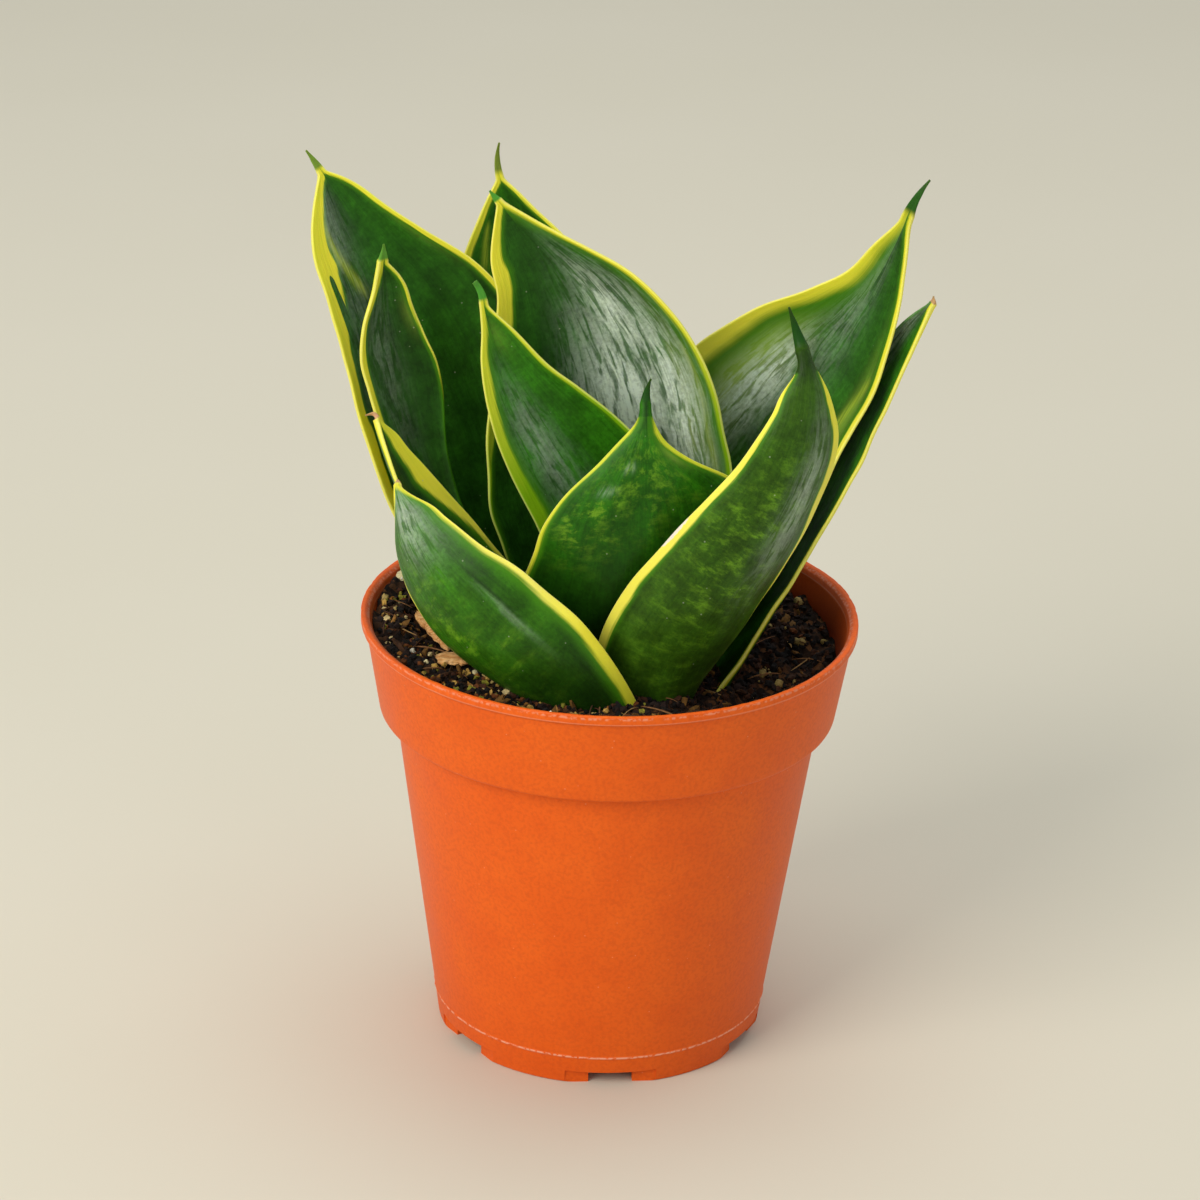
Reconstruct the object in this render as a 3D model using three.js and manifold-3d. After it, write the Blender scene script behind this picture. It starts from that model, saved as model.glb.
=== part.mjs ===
// A dwarf yellow-edged snake plant in a round moulded growers' pot.
// Millimetres, +Z up. The pot stands on z = 0 round the Z axis and the plant's front looks along -Y.
//
// Eleven channelled leaves rise from a knobbly rhizome that is buried in potting mix. Every leaf is one
// closed solid: sections that are set along its midrib, with a small dry spike at the tip. The mix has a
// plain hole for each leaf foot, for the rhizome and for two splinters of bark that lie on it.

import * as THREE from 'three';
import { mergeVertices } from 'three/addons/utils/BufferGeometryUtils.js';
import Module from 'manifold-3d';

const wasm = await Module();
wasm.setup();

// ---- Driving dimensions -----------------------------------------------------------------------------

const SIDES = 64; // facets round the pot and the soil
const GAP = 0.35; // air between pieces that touch
const OVERCUT = 2; // how far a cutter runs past what it cuts

const POT_HEIGHT = 97;
const BASE_RADIUS = 36;
const FOOT_RING_WIDTH = 2.8;
const PLATE_LIFT = 3; // underside of the bottom plate above the ground
const PLATE_THICKNESS = 1.6;
const WALL = 1.4;
const MOULD_LINE = { height: 7, half: 0.5, proud: 0.25 };
const COLLAR = { bottom: 75, underRadius: 46.4, bottomRadius: 49.8, topRadius: 53, step: 0.3, shelf: 1.6 };
const LIP = { radius: 54, height: 1.9, width: 1.8, slope: 0.6 };
const NOTCH = { count: 6, firstAngle: 5, width: 20, height: 3.1, depth: 1.4 };
const DRAIN = { width: 9.6, height: 2.65, radius: 3.5, fromAxis: 28.5 };

const SOIL_BOTTOM_GAP = 0.4;
const SOIL = { level: 91.6, rings: 8, lump: 0.6 };
const HOLLOW = { x: 42, y: -18, reachX: 26, reachY: 30, depth: 11 }; // where the mix has settled

const LEAF_ROWS = 13;
const LEAF_COLUMNS = 9;
const SPIKE_ROWS = 3;
const EDGE_THICKNESS = 0.7;
const FOOT_THICKNESS = 3.4;
const BLADE_THICKNESS = 1.5; // on the midrib, from THINNED of the length upwards
const THINNED = 0.7;
const THINNING_POWER = 0.8;
const SPIKE_THICKNESS = 0.6;
const SPIKE_HALF_WIDTH = { foot: 0.8, end: 0.3 };

const RHIZOME = { x: 3, y: -1, z: 66, radius: 22, stretch: 1.15, squash: 0.5, knuckle: 8, sunk: 6 };

// Each leaf: the midrib's points at the foot, one third, two thirds and the tip; the largest half-width,
// measured round the channel; the compass angle that the channel opens towards, and how far each half
// turns up, at the foot and at the tip (degrees); the spike's run from the tip. `foot` is the half-width
// at the foot and `widest` the place of the largest one, as shares; `point` shapes the tip (1 straight
// sides, 3 blunt) and `rise` the widening from the foot. `sides` scales the half-width of each side of a
// blade that isn't even, at the places SIDE_KEYS.
const SIDE_KEYS = [0, 0.2, 0.35, 0.5, 0.6, 0.7, 0.78, 0.86, 0.93, 1];
const EVEN = SIDE_KEYS.map(() => 1);
const LEAVES = {
  leaf_back: {
    rib: [[-6, 26.5, 80], [-14, 40, 110], [-20, 47, 144], [-27, 49, 179]],
    half: 25, faces: [-88, -85], cup: [70, 30], foot: 0.35, spike: [1, -2, 8.5],
    sides: [
      [1, 1, 1, 1, 1, 1, 1, 1.04, 1.1, 1.3],
      [1, 1, 1, 1, 1, 1, 1.03, 1.06, 1, 1.1],
    ],
  },
  leaf_back_left: {
    rib: [[-12.5, 15, 80], [-29.5, 18.5, 112], [-43, 22, 146.5], [-64.5, 24, 187.5]],
    half: 25.5, faces: [-58, -58], cup: [70, 30], foot: 0.35, point: 3, spike: [-3.3, 0, 4.5],
    sides: [
      [1, 1, 1, 1, 0.96, 0.9, 0.89, 1.02, 1.3, 1.6],
      [1, 1, 1, 1, 1, 1, 0.97, 0.83, 0.8, 1.2],
    ],
  },
  leaf_back_right: {
    rib: [[14, 13, 80], [24, 22, 113], [44.5, 24.5, 146.5], [61, 22, 181.5]],
    half: 30, faces: [-135, -120], cup: [70, 40], foot: 0.3, widest: 0.4, point: 1.3, spike: [4.5, 0, 10],
    sides: [
      [1, 1, 1, 1, 1.06, 1.03, 0.86, 0.7, 0.88, 1],
      [1, 1, 0.95, 0.9, 0.87, 0.95, 0.98, 0.98, 0.95, 0.9],
    ],
  },
  leaf_inner_back: {
    rib: [[2.5, 9, 80], [-0.5, 14, 116], [-8, 13, 153], [-26, 8, 187]],
    half: 30, faces: [-88, -88], cup: [70, 30], foot: 0.4, widest: 0.42, spike: [-2, 0, 2.5],
    sides: [
      [1, 1, 0.99, 0.96, 0.93, 0.9, 0.88, 0.92, 1.22, 1.5],
      [1, 1, 1.02, 1.02, 1.04, 1.03, 0.99, 0.82, 0.62, 0.6],
    ],
  },
  leaf_right: {
    rib: [[17.5, -11.2, 78], [34, 8.4, 102.5], [49.5, 17.8, 131], [66.8, 15.8, 164.5]],
    half: 13, faces: [-140, -150], cup: [30, 45], point: 2.6, spike: [0, 0, 3],
    sides: [
      [0.6, 0.5, 0.4, 0.35, 0.35, 0.4, 0.45, 0.55, 0.8, 1],
      [1, 1, 1, 1, 1, 1, 1, 1, 1, 1],
    ],
  },
  leaf_left: {
    rib: [[-12, 6, 80], [-33, 7.8, 109.5], [-46.5, 8.5, 144], [-50, 5, 174]],
    half: 10.8, faces: [-60, -55], cup: [50, 40], foot: 0.25, widest: 0.75, rise: 3, spike: [0, 0, 4],
    sides: [
      [1, 1, 1, 1, 0.95, 0.89, 0.87, 0.75, 0.45, 0.5],
      [1, 0.8, 0.65, 0.68, 0.85, 0.88, 0.74, 0.7, 0.9, 1.1],
    ],
  },
  leaf_inner_left: {
    rib: [[4, 1, 80], [4, 0, 111], [-15, -1, 141.5], [-28.5, -2, 168]],
    half: 17.5, faces: [-85, -78], cup: [40, 25], foot: 0.4, widest: 0.35, point: 1.7, spike: [-1, 0, 5],
    sides: [
      [1, 1, 1, 0.93, 0.95, 0.96, 0.92, 0.78, 0.5, 0.5],
      [1, 1, 1, 1, 0.96, 0.9, 0.86, 0.97, 1.1, 1.1],
    ],
  },
  leaf_left_low: {
    rib: [[-9, -7.5, 80.5], [-25.5, -10, 98.7], [-40.5, -9.5, 122.7], [-50, -6.5, 143]],
    half: 12.5, faces: [-18, -18], cup: [50, 30], spike: [-3, 0, 0.5],
    sides: [
      [1, 1, 1, 0.95, 0.9, 0.85, 0.8, 0.8, 0.8, 0.8],
      [1, 1, 1.03, 0.96, 0.92, 0.88, 0.88, 0.9, 1.1, 1],
    ],
  },
  leaf_front: {
    rib: [[5, -7.5, 80], [8.5, -20, 107], [7.5, -22, 133], [6, -17, 152]],
    half: 30, faces: [108, 98], cup: [40, 20], foot: 0.3, widest: 0.38, point: 1, spike: [1, 0, 7],
    sides: [
      [1, 1, 1, 1.1, 1.25, 1.25, 0.8, 0.45, 0.15, 0.3],
      [1, 1, 0.95, 1.04, 1.16, 1.16, 1, 0.93, 0.75, 0.6],
    ],
  },
  leaf_front_right: {
    rib: [[13, -18.5, 75.5], [16, -28, 102.8], [33.5, -29, 134.5], [38, -20, 166]],
    half: 17.2, faces: [112, 112], cup: [60, 30], foot: 0.7, spike: [-3, 0, 11],
    sides: [
      [1, 0.95, 0.9, 0.8, 0.8, 0.86, 0.98, 1.05, 1, 1.1],
      [1, 1.04, 1.02, 0.94, 0.88, 0.86, 0.89, 0.95, 1.3, 1.2],
    ],
  },
  leaf_front_left: {
    rib: [[3, -28.5, 80.2], [-16.5, -35.5, 97.2], [-35.5, -31, 113.9], [-45, -18.5, 132.7]],
    half: 18, faces: [55, 55], cup: [60, 30], foot: 0.38, spike: [-0.5, 2, 0.5],
    sides: [
      [1.02, 1.02, 1, 0.98, 0.99, 0.98, 1.05, 1.2, 1.45, 1.2],
      [1, 0.8, 0.68, 0.76, 0.8, 0.79, 0.82, 0.75, 0.4, 0.5],
    ],
  },
};

// Two splinters of bark on the mix: the middle, the length and width, the turn about Z and the tilt.
const BARK = {
  bark_splinter: { at: [-37.9, -5.2, 93.6], length: 20.5, width: 3.4, thickness: 1.4, turn: -69, tilt: 2 },
  bark_chip: { at: [-33.3, -20.2, 93.9], length: 7.2, width: 4.6, thickness: 1.2, turn: -22, tilt: 4 },
};

// ---- Materials --------------------------------------------------------------------------------------

const material = (color, roughness) => new THREE.MeshStandardMaterial({ color, roughness, metalness: 0 });
const terracottaPlastic = () => material('#d9602f', 0.45);
const pottingMix = () => material('#2b1c12', 0.95);
const leafSkin = () => material('#3f6b2c', 0.35);
const rhizomeSkin = () => material('#c58a4a', 0.8);
const barkWood = () => material('#a9713f', 0.85);

// ---- Solids and geometry ----------------------------------------------------------------------------

/** A manifold solid from a closed geometry, with its shared corners merged and its flat slivers dropped. */
function toSolid(geometry) {
  const bare = new THREE.BufferGeometry();
  bare.setAttribute('position', geometry.getAttribute('position').clone());
  bare.setIndex(geometry.index);
  const welded = mergeVertices(bare);
  const corners = Array.from(welded.index.array);
  const triangles = [];
  for (let i = 0; i < corners.length; i += 3) {
    const [a, b, c] = corners.slice(i, i + 3);
    if (a !== b && b !== c && c !== a) triangles.push(a, b, c);
  }
  return new wasm.Manifold(new wasm.Mesh({
    numProp: 3,
    vertProperties: Float32Array.from(welded.getAttribute('position').array),
    triVerts: Uint32Array.from(triangles),
  }));
}

/** The geometry of a manifold solid's largest body. */
function toGeometry(solid) {
  const largest = solid.decompose().reduce((a, b) => (b.volume() > a.volume() ? b : a));
  const mesh = largest.getMesh();
  const geometry = new THREE.BufferGeometry();
  geometry.setAttribute('position', new THREE.BufferAttribute(mesh.vertProperties, 3));
  geometry.setIndex(new THREE.BufferAttribute(mesh.triVerts, 1));
  return geometry;
}

/** A profile of [radius, height] points, from the axis round to the axis, turned about Z. */
function turned(profile) {
  const points = profile.map(([radius, height]) => new THREE.Vector2(radius, height));
  return new THREE.LatheGeometry(points, SIDES).rotateX(Math.PI / 2);
}

function named(name, geometry, skin) {
  const mesh = new THREE.Mesh(geometry, skin);
  mesh.name = name;
  return mesh;
}

// ---- Pot --------------------------------------------------------------------------------------------

const bodySlope = (COLLAR.underRadius - BASE_RADIUS) / COLLAR.bottom;
const bodyRadius = (height) => BASE_RADIUS + bodySlope * height;
const lipFoot = POT_HEIGHT - LIP.height;
const plateTop = PLATE_LIFT + PLATE_THICKNESS;
const shelf = COLLAR.bottom + COLLAR.shelf; // inside, where the collar's wall starts
const underShelf = shelf - 1; // and where the body's wall ends

/** Radius of the pot's inner wall at a height above the shelf. */
function collarInside(height) {
  const share = (height - shelf) / (lipFoot - shelf);
  return THREE.MathUtils.lerp(COLLAR.bottomRadius, COLLAR.topRadius, share) - WALL;
}

function potProfile() {
  const { height, half, proud } = MOULD_LINE;
  return [
    [0, PLATE_LIFT],
    [BASE_RADIUS - FOOT_RING_WIDTH, PLATE_LIFT],
    [BASE_RADIUS - FOOT_RING_WIDTH, 0],
    [BASE_RADIUS, 0],
    [bodyRadius(height - half), height - half],
    [bodyRadius(height) + proud, height],
    [bodyRadius(height + half), height + half],
    [COLLAR.underRadius, COLLAR.bottom],
    [COLLAR.bottomRadius, COLLAR.bottom + COLLAR.step],
    [COLLAR.topRadius, lipFoot - LIP.slope],
    [LIP.radius, lipFoot],
    [LIP.radius, POT_HEIGHT],
    [LIP.radius - LIP.width, POT_HEIGHT],
    [collarInside(lipFoot), lipFoot],
    [collarInside(shelf), shelf],
    [bodyRadius(COLLAR.bottom) - WALL, underShelf],
    [bodyRadius(plateTop) - WALL, plateTop],
    [0, plateTop],
  ];
}

/** A block that lies across the foot ring at an angle from the front, between two distances from the axis. */
function ringCutter(angle, width, height, from, to) {
  const block = new THREE.BoxGeometry(width, to - from, 2 * height);
  block.translate(0, -(from + to) / 2, 0);
  return toSolid(block.rotateZ(THREE.MathUtils.degToRad(angle)));
}

function drainHole(angle) {
  const drill = new THREE.CylinderGeometry(DRAIN.radius, DRAIN.radius, 4 * PLATE_LIFT, 16);
  drill.rotateX(Math.PI / 2).translate(0, -DRAIN.fromAxis, PLATE_LIFT);
  return toSolid(drill.rotateZ(THREE.MathUtils.degToRad(angle)));
}

function makePot() {
  let pot = toSolid(turned(potProfile()));
  const outside = BASE_RADIUS + OVERCUT;
  const inside = BASE_RADIUS - FOOT_RING_WIDTH - OVERCUT;
  for (let i = 0; i < NOTCH.count; i += 1) {
    const angle = NOTCH.firstAngle + (i * 360) / NOTCH.count;
    const recess = ringCutter(angle, NOTCH.width, NOTCH.height, BASE_RADIUS - NOTCH.depth, outside);
    const spout = ringCutter(angle, DRAIN.width, DRAIN.height, inside, outside);
    pot = pot.subtract(recess).subtract(spout).subtract(drainHole(angle));
  }
  return named('pot', toGeometry(pot), terracottaPlastic());
}

// ---- Leaves -----------------------------------------------------------------------------------------

/** Point and direction at t on the cubic through four points at t = 0, 1/3, 2/3 and 1. */
function onRib(rib, t) {
  const knots = [0, 1 / 3, 2 / 3, 1];
  const point = new THREE.Vector3();
  const direction = new THREE.Vector3();
  rib.forEach((corner, i) => {
    const others = knots.filter((knot, j) => j !== i);
    const [a, b, c] = others.map((knot) => t - knot);
    const scale = others.reduce((product, knot) => product * (knots[i] - knot), 1);
    const place = new THREE.Vector3(...corner);
    point.addScaledVector(place, (a * b * c) / scale);
    direction.addScaledVector(place, (a * b + a * c + b * c) / scale);
  });
  return { point, direction: direction.normalize() };
}

/** A value between the ones given at SIDE_KEYS. */
function between(values, t) {
  const next = Math.max(SIDE_KEYS.findIndex((key) => key >= t), 1);
  const [before, after] = [SIDE_KEYS[next - 1], SIDE_KEYS[next]];
  return THREE.MathUtils.lerp(values[next - 1], values[next], (t - before) / (after - before));
}

/** Half-widths of both sides at t: a sine up to the widest place, then a power of the way to the tip. */
function halfWidths({ half, foot = 0.5, widest = 0.45, point = 2, rise = 1, sides = [EVEN, EVEN] }, t) {
  const swell = foot + (1 - foot) * Math.sin((Math.PI / 2) * Math.min(t / widest, 1)) ** rise;
  const taper = 1 - Math.max((t - widest) / (1 - widest), 0) ** point;
  const even = half * (t < widest ? swell : taper);
  return sides.map((shares) => Math.max(even * between(shares, t), SPIKE_HALF_WIDTH.foot));
}

/** The blade's frame at t: across it, and out of the face that the channel opens on. */
function bladeFrame({ rib, faces, cup }, t) {
  const { point, direction } = onRib(rib, t);
  const angle = THREE.MathUtils.degToRad(THREE.MathUtils.lerp(...faces, t));
  const face = new THREE.Vector3(Math.cos(angle), Math.sin(angle), 0);
  face.addScaledVector(direction, -face.dot(direction)).normalize();
  const across = direction.clone().cross(face);
  return { point, direction, face, across, turn: THREE.MathUtils.degToRad(THREE.MathUtils.lerp(...cup, t)) };
}

/** One closed ring of points round the blade: the channelled face, then back along the outer face. */
function sectionRing({ point, face, across, turn }, [left, right], thickness, gap) {
  const inner = [];
  const outer = [];
  for (let i = 0; i < LEAF_COLUMNS; i += 1) {
    const u = (2 * i) / (LEAF_COLUMNS - 1) - 1;
    const reach = (u < 0 ? left : right) + gap;
    const bend = turn * u;
    const normal = face.clone().multiplyScalar(Math.cos(bend)).addScaledVector(across, -Math.sin(bend));
    const skin = point.clone()
      .addScaledVector(across, (Math.sin(bend) / turn) * reach)
      .addScaledVector(face, ((1 - Math.cos(bend)) / turn) * reach);
    const edge = Math.min(EDGE_THICKNESS, thickness);
    const depth = edge + (thickness - edge) * (1 - u * u);
    inner.push(skin.clone().addScaledVector(normal, gap));
    outer.unshift(skin.addScaledVector(normal, -depth - gap));
  }
  return [...inner, ...outer];
}

/** All rings of a leaf, foot to spike. A gap above 0 gives the hole that the leaf stands in. */
function leafRings(leaf, gap = 0) {
  const rings = [];
  for (let row = 0; row < LEAF_ROWS; row += 1) {
    const t = row / (LEAF_ROWS - 1);
    const frame = bladeFrame(leaf, t);
    if (row === 0) frame.point.addScaledVector(frame.direction, -gap);
    const thinned = Math.min(t / THINNED, 1) ** THINNING_POWER;
    const thickness = THREE.MathUtils.lerp(FOOT_THICKNESS, BLADE_THICKNESS, thinned);
    rings.push(sectionRing(frame, halfWidths(leaf, t), thickness, gap));
  }
  const tip = bladeFrame(leaf, 1);
  const run = new THREE.Vector3(...leaf.spike);
  for (let row = 1; row <= SPIKE_ROWS; row += 1) {
    const s = row / SPIKE_ROWS;
    const point = tip.point.clone()
      .addScaledVector(tip.direction, run.length() * s * (1 - s))
      .addScaledVector(run, s * s);
    const half = THREE.MathUtils.lerp(SPIKE_HALF_WIDTH.foot, SPIKE_HALF_WIDTH.end, s);
    const thickness = THREE.MathUtils.lerp(BLADE_THICKNESS, SPIKE_THICKNESS, s);
    rings.push(sectionRing({ ...tip, point }, [half, half], thickness, gap));
  }
  return rings;
}

/** A closed geometry from rings of equal length: walls between them and a zigzag cap at each end. */
function lofted(rings, origin = new THREE.Vector3()) {
  const size = rings[0].length;
  const last = (rings.length - 1) * size;
  const index = [];
  for (let row = 0; row < rings.length - 1; row += 1) {
    for (let i = 0; i < size; i += 1) {
      const a = row * size + i;
      const b = row * size + ((i + 1) % size);
      index.push(a, b, b + size, a, b + size, a + size);
    }
  }
  for (let i = 0; i < size / 2 - 1; i += 1) {
    const [a, b, c, d] = [i, i + 1, size - 2 - i, size - 1 - i];
    index.push(a, c, b, a, d, c);
    index.push(last + a, last + b, last + c, last + a, last + c, last + d);
  }
  const geometry = new THREE.BufferGeometry();
  const places = rings.flat().map((corner) => corner.clone().sub(origin));
  geometry.setFromPoints(places);
  geometry.setIndex(index);
  return geometry;
}

function makeLeaf(name, leaf) {
  const foot = new THREE.Vector3(...leaf.rib[0]);
  const mesh = named(name, lofted(leafRings(leaf), foot), leafSkin());
  mesh.position.copy(foot);
  return mesh;
}

// ---- Rhizome ----------------------------------------------------------------------------------------

/** A squat middle and a knuckle under each leaf, joined. */
function rhizomeSolid(gap = 0) {
  const { x, y, z, radius, stretch, squash, knuckle, sunk } = RHIZOME;
  const middle = new THREE.IcosahedronGeometry(radius + gap, 1).scale(1, stretch, squash);
  let rhizome = toSolid(middle.translate(x, y, z));
  Object.values(LEAVES).forEach(({ rib: [[footX, footY, footZ]] }) => {
    const knob = new THREE.IcosahedronGeometry(knuckle + gap, 0);
    rhizome = rhizome.add(toSolid(knob.translate(footX, footY, footZ - sunk)));
  });
  return rhizome;
}

function makeRhizome(leafHoles) {
  return named('rhizome', toGeometry(rhizomeSolid().subtract(leafHoles)), rhizomeSkin());
}

// ---- Bark -------------------------------------------------------------------------------------------

/** A flat splinter with ragged ends, lying along X. */
function splinter({ length, width, thickness }, gap = 0) {
  const x = length / 2 + gap;
  const y = width / 2 + gap;
  const outline = new THREE.Shape([
    [-x, -0.3 * y], [-0.7 * x, -0.8 * y], [0.1 * x, -y], [0.8 * x, -0.7 * y], [x, -0.1 * y],
    [0.85 * x, 0.8 * y], [0.2 * x, y], [-0.5 * x, 0.7 * y], [-0.9 * x, 0.4 * y],
  ].map(([a, b]) => new THREE.Vector2(a, b)));
  const depth = thickness + 2 * gap;
  return new THREE.ExtrudeGeometry(outline, { depth, bevelEnabled: false }).translate(0, 0, -depth / 2);
}

function barkPlace({ at, turn, tilt }) {
  const place = new THREE.Matrix4().makeRotationZ(THREE.MathUtils.degToRad(turn));
  place.multiply(new THREE.Matrix4().makeRotationX(THREE.MathUtils.degToRad(tilt)));
  return place.setPosition(...at);
}

function makeBark(name, bark) {
  const mesh = named(name, splinter(bark), barkWood());
  mesh.applyMatrix4(barkPlace(bark));
  return mesh;
}

// ---- Potting mix ------------------------------------------------------------------------------------

/** Height of the mix at a place: nearly level, settled in a hollow at the front right, and lumpy. */
function soilLevel(x, y) {
  const away = ((x - HOLLOW.x) / HOLLOW.reachX) ** 2 + ((y - HOLLOW.y) / HOLLOW.reachY) ** 2;
  const lumps = Math.sin(0.47 * x + 1.3) * Math.cos(0.53 * y) + 0.5 * Math.sin(0.9 * x - 0.7 * y);
  return SOIL.level - HOLLOW.depth * Math.exp(-away) + SOIL.lump * lumps;
}

/** The filling of the pot before the holes are cut. */
function soilBlock() {
  const surface = POT_HEIGHT; // the top rings start here and are then let down to the level
  const profile = [
    [0, plateTop + SOIL_BOTTOM_GAP],
    [bodyRadius(plateTop) - WALL - GAP, plateTop + SOIL_BOTTOM_GAP],
    [bodyRadius(COLLAR.bottom) - WALL - GAP, underShelf + GAP],
    [collarInside(shelf) - GAP, shelf + GAP],
  ];
  for (let ring = SOIL.rings; ring >= 0; ring -= 1) {
    profile.push([(ring / SOIL.rings) * collarInside(lipFoot), surface]);
  }
  const block = turned(profile);
  const corners = block.getAttribute('position');
  for (let i = 0; i < corners.count; i += 1) {
    const [x, y, z] = [corners.getX(i), corners.getY(i), corners.getZ(i)];
    if (z < surface - 1) continue;
    const level = soilLevel(x, y);
    const reach = collarInside(level) - GAP;
    const pull = Math.min(1, reach / Math.max(Math.hypot(x, y), 1));
    corners.setXYZ(i, x * pull, y * pull, level);
  }
  return toSolid(block);
}

function makeSoil(leafHoles) {
  let soil = soilBlock().subtract(leafHoles).subtract(rhizomeSolid(GAP));
  Object.values(BARK).forEach((bark) => {
    soil = soil.subtract(toSolid(splinter(bark, GAP).applyMatrix4(barkPlace(bark))));
  });
  return named('soil', toGeometry(soil), pottingMix());
}

// ---- The plant in its pot ---------------------------------------------------------------------------

const leafHoles = Object.values(LEAVES)
  .map((leaf) => toSolid(lofted(leafRings(leaf, GAP))))
  .reduce((all, hole) => all.add(hole));

const leaves = new THREE.Group();
Object.entries(LEAVES).forEach(([name, leaf]) => leaves.add(makeLeaf(name, leaf)));

const filling = new THREE.Group();
filling.add(makeSoil(leafHoles), makeRhizome(leafHoles));
Object.entries(BARK).forEach(([name, bark]) => filling.add(makeBark(name, bark)));

const plant = new THREE.Group();
plant.add(makePot(), filling, leaves);

export default plant;
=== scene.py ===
"""Looks of a dwarf yellow-edged snake plant in a moulded growers' pot.

Eleven fleshy leaves, an orange polypropylene pot, a filling of peat mix with its crumbs, fibres and
perlite, and two splinters of bark. Sizes are in millimetres in the tables and in metres in the meshes.
"""

import math

import bmesh
import bpy
import numpy as np
from mathutils import Matrix, Vector


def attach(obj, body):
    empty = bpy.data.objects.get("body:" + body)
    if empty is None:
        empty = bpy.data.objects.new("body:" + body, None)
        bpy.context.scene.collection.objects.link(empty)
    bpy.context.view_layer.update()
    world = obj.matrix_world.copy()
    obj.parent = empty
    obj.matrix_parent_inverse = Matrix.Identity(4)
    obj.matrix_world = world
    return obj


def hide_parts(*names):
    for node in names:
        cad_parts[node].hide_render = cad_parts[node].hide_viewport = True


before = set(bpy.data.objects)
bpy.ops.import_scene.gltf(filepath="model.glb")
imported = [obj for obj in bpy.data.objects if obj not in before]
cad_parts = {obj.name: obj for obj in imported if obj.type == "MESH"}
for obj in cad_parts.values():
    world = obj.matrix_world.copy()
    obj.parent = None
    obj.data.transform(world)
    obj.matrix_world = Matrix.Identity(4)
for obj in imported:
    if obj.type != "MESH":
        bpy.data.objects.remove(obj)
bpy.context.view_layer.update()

MM = 0.001

# ---- Camera and light --------------------------------------------------------------------------------

CAMERA_DISTANCE = 950 * MM
CAMERA_ELEVATION = math.radians(23.66)
CAMERA_ROLL = math.radians(1.68)
CAMERA_AIM = Vector((-2.24 * MM, 0, 99.75 * MM))
LENS = 131.36
SENSOR = 36.0
NEAREST, FARTHEST = 0.01, 50.0  # metres that the camera sees between


def make_camera():
    """The camera looks along +Y, down by its elevation, and is rolled a little about its line of sight."""
    data = bpy.data.cameras.new("photo_camera")
    data.lens = LENS
    data.sensor_width = SENSOR
    data.sensor_fit = "HORIZONTAL"
    data.clip_start = NEAREST
    data.clip_end = FARTHEST
    camera = bpy.data.objects.new("photo_camera", data)
    back = Vector((0, -math.cos(CAMERA_ELEVATION), math.sin(CAMERA_ELEVATION)))
    place = Matrix.Translation(CAMERA_AIM + back * CAMERA_DISTANCE)
    tilt = Matrix.Rotation(math.pi / 2 - CAMERA_ELEVATION, 4, "X")
    camera.matrix_world = place @ tilt @ Matrix.Rotation(CAMERA_ROLL, 4, "Z")
    bpy.context.scene.collection.objects.link(camera)
    bpy.context.scene.camera = camera


# Each soft light: where it hangs, the edge of its square panel (metres), its power in watts and colour.
LIGHTS = {
    "key_panel": ((-0.95, -0.95, 0.95), 0.9, 17.5, "#fffaf2"),
    "fill_panel": ((0.9, -1.1, 0.55), 1.1, 1.7, "#f6f8ff"),
    "top_panel": ((0.1, 0.35, 1.3), 1.2, 8.0, "#ffffff"),
}
LIT_POINT = Vector((0, 0, 110 * MM))
WORLD_COLOUR = "#e9ecee"
WORLD_STRENGTH = 0.55
FLOOR_COLOUR = "#d0cbb8"
FLOOR_CLOUDS = "#d4cfbe"
FLOOR_REACH = 6.0


def linear(hex_colour):
    """Linear RGBA of an sRGB hex colour."""
    parts = [int(hex_colour[i : i + 2], 16) / 255 for i in (1, 3, 5)]
    return tuple(p / 12.92 if p <= 0.04045 else ((p + 0.055) / 1.055) ** 2.4 for p in parts) + (1.0,)


def make_lights():
    """Soft square panels that face the plant, in a pale even air."""
    for name, (place, edge, power, colour) in LIGHTS.items():
        data = bpy.data.lights.new(name, "AREA")
        data.shape = "SQUARE"
        data.size = edge
        data.energy = power
        data.color = linear(colour)[:3]
        light = bpy.data.objects.new(name, data)
        light.location = place
        light.rotation_euler = (LIT_POINT - light.location).to_track_quat("-Z", "Y").to_euler()
        bpy.context.scene.collection.objects.link(light)
    world = bpy.data.worlds.new("studio_air")
    world.use_nodes = True
    background = world.node_tree.nodes["Background"]
    background.inputs["Color"].default_value = linear(WORLD_COLOUR)
    background.inputs["Strength"].default_value = WORLD_STRENGTH
    bpy.context.scene.world = world
    bpy.context.scene.view_settings.view_transform = "Standard"


# ---- Nodes -------------------------------------------------------------------------------------------

MATH = "ShaderNodeMath"
VECTOR_MATH = "ShaderNodeVectorMath"
MIX = "ShaderNodeMix"
COLOUR_OUT = 2  # the colour output of a Mix node, whose colour inputs are 6 and 7
NOISE = "ShaderNodeTexNoise"
CELLS = "ShaderNodeTexVoronoi"
RANGE = "ShaderNodeMapRange"
SMOOTH = dict(interpolation_type="SMOOTHSTEP")
RAMP = "ShaderNodeValToRGB"
COMBINE = "ShaderNodeCombineXYZ"
SEPARATE = "ShaderNodeSeparateXYZ"
ATTRIBUTE = "ShaderNodeAttribute"
BUMP = "ShaderNodeBump"


def add(tree, kind, sockets=(), out=0, **settings):
    """Adds a node, sets it, fills its inputs and gives back one of its outputs. The inputs come in their
    order or by their names, and each is a number, a hex colour or a link."""
    node = tree.nodes.new(kind)
    for name, value in settings.items():
        setattr(node, name, value)
    for key, value in sockets.items() if isinstance(sockets, dict) else enumerate(sockets):
        if isinstance(value, bpy.types.NodeSocket):
            tree.links.new(value, node.inputs[key])
        else:
            node.inputs[key].default_value = linear(value) if isinstance(value, str) else value
    return node.outputs[out]


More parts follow.
